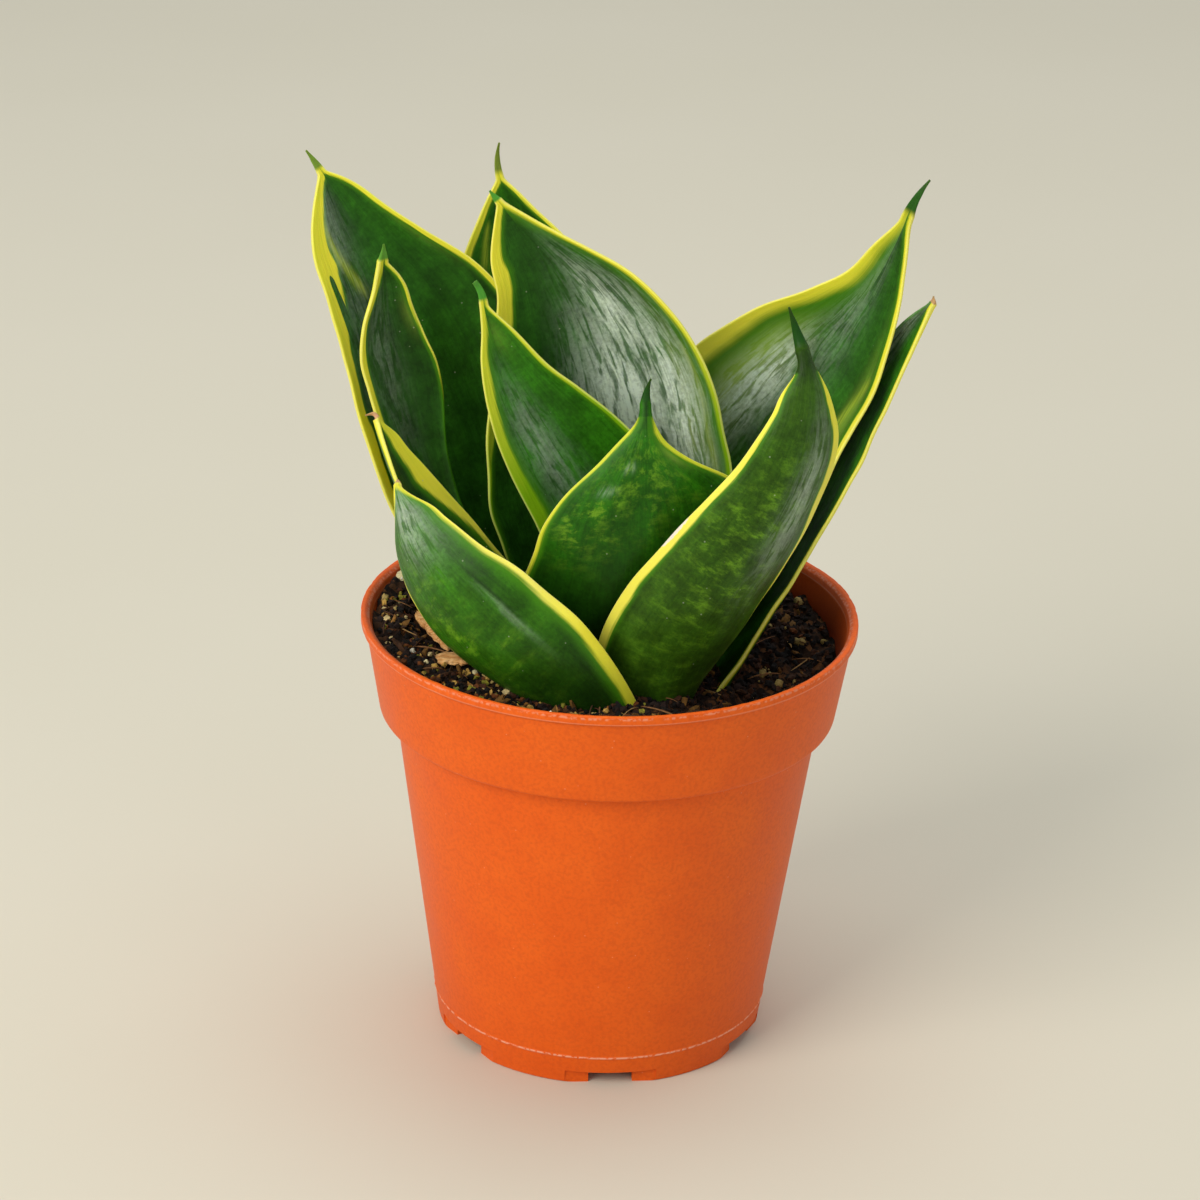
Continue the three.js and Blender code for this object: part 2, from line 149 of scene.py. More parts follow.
def layered(tree, colour, *layers, **settings):
    """Colours laid over one another: each layer is the share that it covers, and its colour."""
    for share, over in layers:
        colour = add(tree, MIX, {0: share, 6: colour, 7: over}, COLOUR_OUT, data_type="RGBA", **settings)
    return colour


def product(tree, *factors, **settings):
    """All the factors multiplied, one after the other."""
    total = factors[0]
    for factor in factors[1:]:
        total = add(tree, MATH, (total, factor), operation="MULTIPLY", **settings)
    return total


def set_tones(ramp, tones, interpolation="LINEAR"):
    """Gives a ramp its row of colours, each with its place from 0 to 1."""
    ramp.node.color_ramp.interpolation = interpolation
    stops = ramp.node.color_ramp.elements
    for i, (place, colour) in enumerate(tones):
        stop = stops[i] if i < 2 else stops.new(place)
        stop.position = place
        stop.color = linear(colour)
    return ramp


def new_material(name, **constants):
    """A material with one Principled shader, whose constants are set on its own sockets. Gives back the
    material, its tree and the places on the surface, in metres."""
    material = bpy.data.materials.new(name)
    material.use_nodes = True
    tree = material.node_tree
    for socket, value in constants.items():
        tree.nodes["Principled BSDF"].inputs[socket.replace("_", " ")].default_value = value
    return material, tree, add(tree, "ShaderNodeTexCoord", out="Object")


def plug(material, **links):
    """Links the sockets of the material's shader, and gives back the finished material."""
    tree = material.node_tree
    for socket, value in links.items():
        tree.links.new(value, tree.nodes["Principled BSDF"].inputs[socket.replace("_", " ")])
    return material


# ---- Meshes ------------------------------------------------------------------------------------------


def unit(vectors):
    """The vectors, each brought to a length of one."""
    return vectors / np.linalg.norm(vectors, axis=-1, keepdims=True)


def mesh_piece(name, points, faces, material, smooth=True, attributes=None):
    """A mesh object at the origin from points in millimetres and rows of corner numbers."""
    mesh = bpy.data.meshes.new(name)
    mesh.from_pydata(points.reshape(-1, 3) * MM, [], faces)
    for key, values in (attributes or {}).items():
        kind = "FLOAT_VECTOR" if values.ndim > 1 else "FLOAT"
        layer = mesh.attributes.new(key, kind, "POINT")
        layer.data.foreach_set("vector" if values.ndim > 1 else "value", values.astype(np.float32).ravel())
    mesh.polygons.foreach_set("use_smooth", np.full(len(mesh.polygons), smooth))
    mesh.materials.append(material)
    mesh.validate()
    mesh.update()
    piece = bpy.data.objects.new(name, mesh)
    bpy.context.scene.collection.objects.link(piece)
    return piece


def circle(count):
    """Angles evenly spaced round a ring."""
    return np.arange(count) / count * 2 * np.pi


def turned(x, y, angle):
    """Two coordinates turned in their plane by an angle."""
    c, s = math.cos(angle), math.sin(angle)
    return x * c - y * s, x * s + y * c


def loop_faces(rows, size):
    """Quads between neighbouring closed rings of one size."""
    row = np.arange(rows - 1)[:, None] * size
    here = np.arange(size)[None]
    ahead = (here + 1) % size
    corners = [row + here, row + ahead, row + ahead + size, row + here + size]
    return np.stack(corners, -1).reshape(-1, 4)


def closed_faces(rows, size):
    """Quads between rings, and fans to the first and last pole, which come after the rings' points."""
    here = np.arange(size)
    ahead = (here + 1) % size
    first = np.stack([here * 0 + rows * size, ahead, here], -1)
    last = np.stack([here * 0 + rows * size + 1, here, ahead], -1)
    last[:, 1:] += (rows - 1) * size
    return loop_faces(rows, size).tolist() + first.tolist() + last.tolist()


LATTICE = 32  # cells after which the noise repeats


def lattice_noise(points, cell, seed):
    """Smooth noise from -1 to 1: random numbers on a cubic lattice, eased between the eight corners."""
    table = np.random.default_rng(seed).uniform(-1, 1, (LATTICE,) * 3)
    scaled = points / np.asarray(cell, float)
    base = np.floor(scaled).astype(int)
    share = scaled - base
    share = share * share * (3 - 2 * share)
    total = np.zeros(points.shape[:-1])
    for corner in np.ndindex(2, 2, 2):
        picked = (base + np.array(corner)) % LATTICE
        weight = np.prod(np.where(corner, share, 1 - share), -1)
        total += weight * table[picked[..., 0], picked[..., 1], picked[..., 2]]
    return total


# ---- Leaves ------------------------------------------------------------------------------------------

LEAF_ROWS = 118
SPIKE_ROWS = 20
LEAF_COLUMNS = 65
EDGE_THICKNESS = 0.7
FOOT_THICKNESS = 3.4
BLADE_THICKNESS = 1.5
THINNED = 0.7  # the share of the blade's length over which its middle gets thinner
THINNING_POWER = 0.8
EDGE_ROUNDING = 0.35
WOBBLE = dict(share=0.012, cell=(9, 9, 9), least=4)  # the half-width wanders, where it is above the least
SWAY = dict(height=0.3, cell=(13, 31, 9))  # slow waves of the whole blade
RIPPLE = dict(height=0.3, cell=(9, 7, 9))  # quicker waves at its edges
GROOVE = dict(depth=0.22, half=2.2)
CALM_UNDER = 6  # the waves and the groove fade out where a half is narrower
SIDE_KEYS = (0, 0.2, 0.35, 0.5, 0.6, 0.7, 0.78, 0.86, 0.93, 1)
BAND_ENDS = dict(fade=0.07, close=0.02, inside=4)  # how a margin stops below an all-green tip
STREAK_FADES = (0.03, 0.02)  # runs over which a streak comes and goes
FOOT_SHADE = dict(strength=0.6, start=0.05, reach=0.3)

# The blades, as the solids have them. rib: the midrib's points at the foot, one third, two thirds and the
# tip; half: the largest half-width, round the channel; faces: the compass angle that the channel opens
# towards, and cup: how far each half turns up, at foot and tip (degrees). widest, foot, point and rise
# shape the outline, and sides are the shares of it that the left and right halves keep at SIDE_KEYS. spike
# is the run of the tip's spike, spike_foot its half-width at the blade and blunt the one at its end.
# The colours: bands are the widths of the left and right margins, evenly spaced from foot to tip, and
# below nothing where there is none; green_from is the place where they stop. lime is how green they are,
# or how creamy below nothing; soft, how softly each blends into the green; hue, how dark and blue the
# green is, or how olive below nothing; tone, how dry the spike is. USUAL is what a leaf has if it doesn't
# say otherwise.
USUAL = dict(foot=0.5, widest=0.45, rise=1, point=2, soft=(0.4, 0.4), blunt=0.16)
LEAVES = {
    "leaf_back": dict(
        rib=[(-6, 26.5, 80), (-14, 40, 110), (-20, 47, 144), (-27, 49, 179)],
        half=25, faces=(-88, -85), cup=(70, 30), foot=0.35, spike=(-0.2, -2, 8.5),
        bands=((1.5, 2.2, 2.6, 2.6, 1.2), (0.8, 1.0, 1.2, 1.2, 0.7)), lime=(0.7, 0.5, 0.2, 0.05, 0.1),
        sides=((1, 1, 1, 1, 1, 1, 1, 1.04, 1.1, 1.3),
               (1, 1, 1, 1, 1, 1, 1.03, 1.06, 1, 1.1)),
        hue=0.3, tone=0.55, spike_foot=0.75,
    ),
    "leaf_back_left": dict(
        rib=[(-12.5, 15, 80), (-29.5, 18.5, 112), (-43, 22, 146.5), (-64.5, 24, 187.5)],
        half=25.5, faces=(-58, -58), cup=(70, 30), foot=0.35, point=3, spike=(-3.3, 0, 4.5),
        bands=((1.6, 2.2, 3.0, 3.8, 4.2, 3.4, 3.0, 5.8, 1.8), (0.7, 0.9, 1.0, 1.1, 0.7)),
        lime=(0.6, 0.25, 0.05, 0, 0.1),
        sides=((1, 1, 1, 1, 0.96, 0.9, 0.89, 1.02, 1.3, 1.6),
               (1, 1, 1, 1, 1, 1, 0.97, 0.83, 0.8, 1.2)),
        hue=0.5, tone=0.5, spike_foot=0.8,
    ),
    "leaf_back_right": dict(
        rib=[(14, 13, 80), (24, 22, 113), (44.5, 24.5, 146.5), (61, 22, 181.5)],
        half=30, faces=(-135, -120), cup=(70, 40), foot=0.3, widest=0.4, point=1.3, spike=(4.5, 0, 8.6),
        bands=((3.0, 4.2, 4.6, 3.2, 1.2), (0.9, 1.3, 1.6, 1.4, 0.7)), lime=(0.3, 0, -0.15, 0, 0.1),
        sides=((1, 1, 1, 1, 1.06, 1.03, 0.86, 0.7, 0.88, 1),
               (1, 1, 0.95, 0.9, 0.87, 0.95, 0.98, 0.98, 0.95, 0.9)),
        hue=0.6, soft=(2.6, 0.5), tone=0.05, spike_foot=1.2,
    ),
    "leaf_inner_back": dict(
        rib=[(2.5, 9, 80), (-0.5, 14, 116), (-8, 13, 153), (-26, 8, 187)],
        half=30, faces=(-88, -88), cup=(70, 30), foot=0.4, widest=0.42, spike=(-2, 0, 2.5),
        bands=((0.3, 0.3, 0.3, 0.4, 0.8, 3.6, 4.6, 3.8, 1.6), (1.0, 1.2, 1.3, 1.1, 0.7)),
        lime=(1.5, 1.2, 0.8, 0, 0.1),
        sides=((1, 1, 0.99, 0.96, 0.93, 0.9, 0.88, 0.92, 1.22, 1.5),
               (1, 1, 1.02, 1.02, 1.04, 1.03, 0.99, 0.82, 0.62, 0.6)),
        hue=0.6, soft=(0.6, 1.0), tone=0.35, spike_foot=0.7,
    ),
    "leaf_right": dict(
        rib=[(17.5, -11.2, 78), (34, 8.4, 102.5), (49.5, 17.8, 131), (66.8, 15.8, 164.5)],
        half=13, faces=(-140, -150), cup=(30, 45), point=2.6, spike=(0.4, 0, 1.6),
        bands=((-0.6, -0.6, -0.6, -0.6, -0.3), (0.6, 0.8, 0.9, 1.2, 0.9)), lime=(0.4, 0.2, 0.1, 0.05, 0.1),
        sides=((0.6, 0.5, 0.4, 0.35, 0.35, 0.4, 0.45, 0.55, 0.8, 1),
               (1, 1, 1, 1, 1, 1, 1, 1, 1, 1)),
        hue=0.2, tone=0.95, spike_foot=0.5,
    ),
    "leaf_left": dict(
        rib=[(-12, 6, 80), (-33, 7.8, 109.5), (-46.5, 8.5, 144), (-50, 5, 174)],
        half=10.8, faces=(-60, -55), cup=(50, 40), foot=0.25, widest=0.75, rise=3, spike=(0, 0, 4),
        bands=((0.8, 1.2, 1.8, 2.0, 1.0), (-0.6, -0.6, -0.6, 0.35, 0.6)), lime=(0.7, 0.5, 0.1, 0.05, 0.2),
        sides=((1, 1, 1, 1, 0.95, 0.89, 0.87, 0.75, 0.45, 0.5),
               (1, 0.8, 0.65, 0.68, 0.85, 0.88, 0.74, 0.7, 0.9, 1.1)),
        hue=0.7, tone=0.4, spike_foot=1.0,
    ),
    "leaf_inner_left": dict(
        rib=[(4, 1, 80), (4, 0, 111), (-15, -1, 141.5), (-28.5, -2, 168)],
        half=17.5, faces=(-85, -78), cup=(40, 25), foot=0.4, widest=0.35, point=1.7, spike=(-2, 0, 4.6),
        bands=((5.0, 4.6, 3.0, 2.2, 1.0), (0.7, 0.8, 0.8, 0.8, 0.6)), lime=(1.5, 1.5, 1.3, 0.5, 0.2),
        sides=((1, 1, 1, 0.93, 0.95, 0.96, 0.92, 0.78, 0.5, 0.5),
               (1, 1, 1, 1, 0.96, 0.9, 0.86, 0.97, 1.1, 1.1)),
        hue=0.2, soft=(0.7, 0.4), tone=0.35, spike_foot=0.8, blunt=0.45,
    ),
    "leaf_left_low": dict(
        rib=[(-9, -7.5, 80.5), (-25.5, -10, 98.7), (-40.5, -9.5, 122.7), (-50, -6.5, 143)],
        half=12.5, faces=(-18, -18), cup=(50, 30), spike=(-3, 0, 0.5),
        bands=((0.5, 0.6, 0.7, 0.7, 0.6), (0.4, 0.4, 0.4, 0.5, 0.9, 2.2, 4.2, 3.2, 1.2)),
        lime=(0.2, 0, -0.1, 0, 0.2),
        sides=((1, 1, 1, 0.95, 0.9, 0.85, 0.8, 0.8, 0.8, 0.8),
               (1, 1, 1.03, 0.96, 0.92, 0.88, 0.88, 0.9, 1.1, 1)),
        hue=0.9, soft=(0.4, 0.7), tone=1.0, spike_foot=0.6,
    ),
    "leaf_front": dict(
        rib=[(5, -7.5, 80), (8.5, -20, 107), (7.5, -22, 133), (6, -17, 152)],
        half=30, faces=(108, 98), cup=(40, 20), foot=0.3, widest=0.38, point=1, spike=(1, 0, 5.8),
        bands=((0.8, 1.1, 1.3, 1.5, 0.9), (0.6, 0.8, 0.9, 0.9, 0.7)), lime=(0.2, 0.15, 0.15, 0.3, 0.4),
        sides=((1, 1, 1, 1.1, 1.25, 1.22, 0.84, 0.52, 0.42, 0.2),
               (1, 1, 0.95, 1.04, 1.16, 1.16, 1, 0.82, 0.5, 0.3)),
        hue=0.0, soft=(0.7, 0.5), tone=0.0, spike_foot=1.1, green_from=0.955,
    ),
    "leaf_front_right": dict(
        rib=[(13, -18.5, 75.5), (16, -28, 102.8), (33.5, -29, 134.5), (38, -20, 166)],
        half=17.2, faces=(112, 112), cup=(60, 30), foot=0.7, spike=(-3.2, 0, 9.6),
        bands=((0.9, 1.3, 1.5, 3.0, 2.0), (1.6, 2.0, 1.9, 1.1, 0.7)), lime=(0, -0.15, -0.2, -0.15, 0.1),
        sides=((1, 0.95, 0.9, 0.8, 0.8, 0.86, 0.98, 1.05, 0.93, 0.4),
               (1, 1.04, 1.02, 0.94, 0.88, 0.86, 0.89, 0.97, 1.1, 0.4)),
        hue=-0.7, tone=0.0, spike_foot=1.35, green_from=0.965,
    ),
    "leaf_front_left": dict(
        rib=[(3, -28.5, 80.2), (-16.5, -35.5, 97.2), (-35.5, -31, 113.9), (-45, -18.5, 132.7)],
        half=18, faces=(55, 55), cup=(60, 30), foot=0.38, spike=(-0.5, 2, 0.5),
        bands=((2.5, 2.3, 1.5, 0.9, 0.7), (1.4, 1.8, 1.9, 1.6, 0.9)), lime=(0.4, 0.1, -0.35, -0.3, 0.1),
        sides=((1.02, 1.02, 1, 0.98, 0.99, 0.98, 1.05, 1.2, 1.45, 1.2),
               (1, 0.8, 0.68, 0.76, 0.8, 0.79, 0.82, 0.75, 0.4, 0.5)),
        hue=-0.3, soft=(0.9, 0.4), tone=0.9, spike_foot=0.6,
    ),
}

# Patches on the faces. For each leaf and kind: face (1 inner, -1 outer), place along and across, reaches
# along and across, and strength. bloom is grey wax with a painted sheen and painted glints, mottle cross
# bands, shade mostly painted shade (a darker green of the leaf's own in a few places), and haze lime.
PATCHES = {
    "leaf_back": dict(shade=[(1, 0.93, 0.3, 0.06, 0.6, 0.5)]),
    "leaf_back_left": dict(
        bloom_and_sheen=[(1, 0.93, -0.5, 0.1, 0.3, 0.25), (1, 0.7, -0.5, 0.2, 0.3, 0.2)],
        haze=[(1, 0.87, 0.93, 0.06, 0.1, 0.45)],
        shade=[(1, 0.95, -0.3, 0.05, 0.4, 0.5), (1, 0.78, -0.35, 0.12, 0.25, 0.5)],
    ),
    "leaf_back_right": dict(
        bloom_and_sheen=[(1, 0.57, -0.36, 0.1, 0.19, 1.4), (1, 0.78, -0.1, 0.18, 0.25, 0.22)],
        haze=[(1, 0.57, -0.65, 0.15, 0.28, 1.4), (1, 0.62, 0.75, 0.14, 0.12, 0.45)],
        shade=[(1, 0.9, 0.1, 0.1, 0.4, 0.3), (1, 0.46, -0.7, 0.06, 0.25, 0.9)],
    ),
    "leaf_inner_back": dict(
        bloom_and_sheen=[
            (1, 0.7, 0.4, 0.12, 0.2, 1.1), (1, 0.54, 0.24, 0.16, 0.32, 1.4), (1, 0.54, 0.62, 0.22, 0.22, 1.1),
        ],
        haze=[(1, 0.52, 0.82, 0.2, 0.1, 0.4)],
        shade=[(1, 0.9, 0.0, 0.1, 0.5, 0.45), (1, 0.62, -0.35, 0.15, 0.25, 0.35)],
    ),
    "leaf_right": dict(
        bloom_and_sheen=[(1, 0.8, -0.6, 0.3, 0.5, 0.3)],
        shade=[(1, 0.5, -0.5, 1.2, 0.62, 1.0), (1, 0.1, 0.5, 0.3, 1.5, 0.8)],
    ),
    "leaf_left": dict(
        bloom_and_sheen=[(1, 0.75, -0.3, 0.2, 0.4, 0.2)],
        haze=[(1, 0.84, 0.8, 0.05, 0.2, 0.4)],
        shade=[(1, 0.6, 0.1, 0.3, 0.6, 0.4)],
    ),
    "leaf_left_low": dict(shade=[(1, 0.5, -0.4, 0.5, 0.8, 0.5)]),
    "leaf_inner_left": dict(bloom_and_sheen=[(1, 0.62, -0.3, 0.15, 0.3, 0.28)], haze=[(1, 0.9, 0.2, 0.05, 0.3, 0.2)]),
    "leaf_front": dict(
        bloom_and_sheen=[(-1, 0.77, 0.32, 0.015, 0.08, 0.35), (-1, 0.7, 0.52, 0.015, 0.1, 0.25)],
        mottle=[(-1, 0.72, 0.1, 0.13, 0.5, 2.2), (-1, 0.6, 0.6, 0.1, 0.3, 2.6)],
        haze=[(-1, 0.83, -0.75, 0.05, 0.2, 1.6)],
        shade=[(-1, 0.18, 0.0, 0.45, 2.0, 1.1), (-1, 0.97, 0.0, 0.1, 0.35, 0.9)],
    ),
    "leaf_front_right": dict(
        bloom_and_sheen=[(-1, 0.7, -0.36, 0.16, 0.25, 0.42), (-1, 0.525, 1.0, 0.045, 0.05, 5.0)],
        mottle=[(-1, 0.55, 0.2, 0.22, 0.6, 1.5), (-1, 0.3, 0.0, 0.2, 0.7, 0.8)],
        shade=[
            (-1, 0.6, 0.2, 0.6, 2.0, 0.3), (-1, 0.97, 0.0, 0.05, 2.0, 0.6), (-1, 0.05, 0.0, 0.2, 2.0, 0.6),
        ],
    ),
    "leaf_front_left": dict(
        bloom_and_sheen=[(-1, 0.9, -0.15, 0.12, 0.45, 0.5), (-1, 0.5, -0.52, 0.1, 0.04, 0.2)],
        mottle=[(-1, 0.6, 0.3, 0.18, 0.45, 1.0), (-1, 0.38, 0.0, 0.16, 0.5, 0.7)],
        shade=[
            (-1, 0.8, 0.7, 0.2, 0.4, 0.3), (-1, 0.15, -0.2, 0.26, 1.4, 1.0),
            (-1, 0.58, -0.68, 0.2, 0.15, 0.6), (-1, 0.58, -0.58, 0.15, 0.035, 1.0),
        ],
    ),
}

# Yellow-green streaks inside the green: place across at the start and at the end, start and end along the
# blade, half-breadth and strength; a strength below nothing is a dark streak in the margin.
STREAKS = {
    "leaf_back_left": [(-0.3, -0.66, 0.8, 0.96, 0.055, 0.9), (-0.7, -0.8, 0.7, 0.88, 0.05, -1.0)],
    "leaf_back_right": [(0.6, 0.78, 0.56, 0.72, 0.05, 0.5)],
    "leaf_back": [(-0.5, -0.62, 0.8, 0.92, 0.06, 0.6)],
    "leaf_inner_back": [(0.66, 0.74, 0.42, 0.66, 0.03, 0.3), (0.85, 0.87, 0.4, 0.66, 0.025, 0.35)],
}


def rib_at(rib, t):
    """The cubic through four points at t = 0, 1/3, 2/3 and 1, and its unit direction."""
    knots = np.array([0, 1 / 3, 2 / 3, 1])
    rib = np.array(rib, float)
    points = np.zeros((len(t), 3))
    slopes = np.zeros((len(t), 3))
    for i, knot in enumerate(knots):
        a, b, c = (t - other for other in np.delete(knots, i))
        scale = np.prod(knot - np.delete(knots, i))
        points += (a * b * c / scale)[:, None] * rib[i]
        slopes += ((a * b + a * c + b * c) / scale)[:, None] * rib[i]
    return points, unit(slopes)


def eased(keys, values, t):
    """A smooth curve through values at keys: cubics whose slopes are the values' own gradients."""
    keys, values = np.array(keys, float), np.array(values, float)
    slopes = np.gradient(values, keys)
    i = np.clip(np.searchsorted(keys, t) - 1, 0, len(keys) - 2)
    run = keys[i + 1] - keys[i]
    s = (t - keys[i]) / run
    rise = values[i + 1] - values[i]
    pull = (1 - s) * (slopes[i] * run - rise) - s * (slopes[i + 1] * run - rise)
    return values[i] + rise * s + s * (1 - s) * pull


def blade_half_width(leaf, t):
    """Half-width: a sine swell up to the widest place, then one minus a power of the way to the tip."""
    foot, widest = leaf["foot"], leaf["widest"]
    swell = foot + (1 - foot) * np.sin(np.pi / 2 * np.clip(t / widest, 0, 1)) ** leaf["rise"]
    taper = 1 - np.clip((t - widest) / (1 - widest), 0, 1) ** leaf["point"]
    return leaf["half"] * np.where(t < widest, swell, taper)


def patches(zones, side, t, u):
    """Soft oval patches on a face: a bell in t and u for each zone, the largest taken."""
    total = np.zeros(np.broadcast(side, t, u).shape)
    for face, along, across, reach_t, reach_u, strength in zones:
        bell = np.exp(-(((t - along) / reach_t) ** 2) - ((u - across) / reach_u) ** 2)
        total = np.maximum(total, bell * strength * (side == face))
    return total


def around(values):
    """Values on the inner face, taken on round the outer face so that they make rings."""
    return np.concatenate([values, values[:, -2:0:-1]], 1)


def leaf_marks(name, leaf, seed, t, u, rim, station, spikeness):
    """What the skin is told at each point, three numbers to an attribute: how far the rim is, the margin's
    width and its lime; the place across and along; the patches; the spike, its tone and the streaks; how
    softly the margin blends in, the hue and the haze."""
    side = np.ones((len(t), LEAF_COLUMNS))
    side = np.concatenate([side, -side[:, :-2]], 1)
    u = around(np.broadcast_to(u, rim.shape))
    left, right = (np.interp(t, np.linspace(0, 1, len(widths)), widths) for widths in leaf["bands"])
    lime = np.interp(t, np.linspace(0, 1, len(leaf["lime"])), leaf["lime"])[:, None]
    t = np.broadcast_to(t[:, None], u.shape)
    level = np.ones_like(u)
    band = np.where(u < 0, left[:, None], right[:, None])
    if "green_from" in leaf:
        past = t - leaf["green_from"]
        closed = np.clip(past / BAND_ENDS["close"] + 0.5, 0, 1) * BAND_ENDS["inside"]
        band = band * np.clip(-past / BAND_ENDS["fade"], 0, 1) - closed
    streak = 0 * u
    for low, high, start, end, breadth, strength in STREAKS.get(name, []):
        path = low + (high - low) * (t - start) / (end - start)
        bell = np.exp(-(((u - path) / breadth) ** 2))
        ends = np.clip((t - start) / STREAK_FADES[0], 0, 1) * np.clip((end - t) / STREAK_FADES[1], 0, 1)
        streak = streak + bell * ends * strength * (side > 0)
    zones = PATCHES[name]
    bloom_and_sheen, mottle, shade, haze = (
        patches(zones.get(kind, []), side, t, u) for kind in ("bloom_and_sheen", "mottle", "shade", "haze")
    )
    # Painted shade towards each blade's foot, down among the others.
    foot_shade = np.clip(1 - (t - FOOT_SHADE["start"]) / FOOT_SHADE["reach"], 0, 1)
    shade = np.maximum(shade, FOOT_SHADE["strength"] * foot_shade)
    soft = np.where(u < 0, *leaf["soft"])
    marks = {
        "edge": (around(rim), band, lime * level),
        "lay": (u * leaf["half"], around(station), seed * 17.0 + side * 5),
        "sheen_mottle_and_shade": (bloom_and_sheen, mottle, shade),
        "tip": (spikeness[:, None] * level, leaf["tone"] * level, streak),
        "blend": (soft, leaf["hue"] * level, haze),
    }
    return {key: np.stack(values, -1).reshape(-1, 3) for key, values in marks.items()}


def leaf_faces(rows, size):
    """Quads round the blade, and strips across its foot and tip from the inner face to the outer one. The
    outermost strips have only three corners."""
    here = np.arange(LEAF_COLUMNS - 1)
    strips = np.stack([here, here + 1, (size - here - 1) % size, (size - here) % size], -1)
    caps = [strips[:, ::-1], strips + (rows - 1) * size]
    quads = np.vstack([loop_faces(rows, size)] + [cap[1:-1] for cap in caps])
    ends = np.vstack([cap[[0, -1]] for cap in caps])
    return quads.tolist() + [list(dict.fromkeys(row)) for row in ends.tolist()]


def make_leaf(name, leaf, skin, seed):
    """A fleshy blade round its rib. At each station the section is an arc that turns up by the cup angle,
    thick in the middle and rounded at its edges. The stations go on up the spike, where the section
    shrinks to a thin round one. Slow noise along and across keeps the blade and its edges from being true."""
    # Stations lie closer together towards the tip, and the columns further down towards the edges.
    t = 1 - (1 - np.linspace(0, 1, LEAF_ROWS)) ** 1.5
    rib, along = rib_at(leaf["rib"], t)
    up = np.arange(1, SPIKE_ROWS + 1) / SPIKE_ROWS
    run = np.array(leaf["spike"], float)
    reach = np.linalg.norm(run)
    spike = rib[-1] + np.outer(up * (1 - up), along[-1]) * reach + np.outer(up**2, run)
    spike_along = unit(np.outer(1 - 2 * up, along[-1]) * reach + np.outer(2 * up, run))
    centre = np.vstack([rib, spike])
    along = np.vstack([along, spike_along])
    t_all = np.append(t, np.ones(SPIKE_ROWS))
    spikeness = np.append(0 * t, up)

    angle = np.radians(np.interp(t_all, (0, 1), leaf["faces"]))
    face = np.stack([np.cos(angle), np.sin(angle), 0 * angle], -1)
    face = unit(face - (face * along).sum(-1, keepdims=True) * along)
    across = np.cross(along, face)

    even = blade_half_width(leaf, t)
    sides = [even * eased(SIDE_KEYS, shares, t) for shares in leaf["sides"]]
    spike_foot = leaf["spike_foot"]
    halves = np.stack([(side.clip(0) ** 3 + spike_foot**3) ** (1 / 3) for side in sides])
    travel = np.append(0, np.cumsum(np.linalg.norm(np.diff(centre, axis=0), axis=1)))
    wobble = lattice_noise(np.stack([travel, 0 * travel, 0 * travel], -1), WOBBLE["cell"], seed)
    halves = halves * (1 + WOBBLE["share"] * wobble[:LEAF_ROWS] * (halves > WOBBLE["least"]))
    spike_half = leaf["blunt"] + (spike_foot - leaf["blunt"]) * (1 - up) ** 1.25
    halves = np.concatenate([halves, np.broadcast_to(spike_half, (2, SPIKE_ROWS))], 1)
    cup = np.radians(np.interp(t_all, (0, 1), leaf["cup"]))

    place = np.linspace(-1, 1, LEAF_COLUMNS)
    u = place * (1.5 - 0.5 * place**2)
    half = np.where(u < 0, halves[0][:, None], halves[1][:, None])
    bend = cup[:, None] * u
    side_run = (np.sin(bend) / cup[:, None] * half)[..., None] * across[:, None]
    face_run = ((1 - np.cos(bend)) / cup[:, None] * half)[..., None] * face[:, None]
    normal = np.cos(bend)[..., None] * face[:, None] - np.sin(bend)[..., None] * across[:, None]
    thinning = np.clip(t / THINNED, 0, 1) ** THINNING_POWER
    middle = FOOT_THICKNESS + (BLADE_THICKNESS - FOOT_THICKNESS) * thinning
    middle = np.append(middle, np.maximum(BLADE_THICKNESS * (1 - up), 1.5 * spike_half))
    edge = np.minimum(EDGE_THICKNESS, middle)
    depth = edge[:, None] + (middle - edge)[:, None] * (1 - u**2)
    rim = (1 - np.abs(u)) * half
    rounding = np.minimum(EDGE_ROUNDING + (half - EDGE_ROUNDING) * spikeness[:, None], half)
    fullness = np.sqrt(1 - (1 - np.clip(rim / rounding, 0, 1)) ** 2)

    width = u * half
    station = np.broadcast_to(travel[:, None], width.shape)
    cloud = np.stack([width, station, np.full_like(width, seed * 7.3)], -1)
    calm = np.clip(half / CALM_UNDER, 0, 1)
    sway = SWAY["height"] * lattice_noise(cloud, SWAY["cell"], seed + 40) * calm
    ripple = RIPPLE["height"] * lattice_noise(cloud, RIPPLE["cell"], seed + 80) * np.abs(u) ** 4 * calm
    groove = -GROOVE["depth"] * np.exp(-((width / GROOVE["half"]) ** 2)) * calm
    skin_line = centre[:, None] + side_run + face_run + (sway + ripple + groove)[..., None] * normal
    core = skin_line - normal * (depth / 2)[..., None]
    lift = normal * (depth / 2 * fullness)[..., None]
    inner = core + lift
    outer = (core - lift)[:, -2:0:-1]
    points = np.concatenate([inner, outer], 1)
    rows, size = points.shape[:2]
    marks = leaf_marks(name, leaf, seed, t_all, u, rim, station, spikeness)
    piece = mesh_piece(name + "_blade", points, leaf_faces(rows, size), skin, attributes=marks)
    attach(piece, "root")
    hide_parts(name)


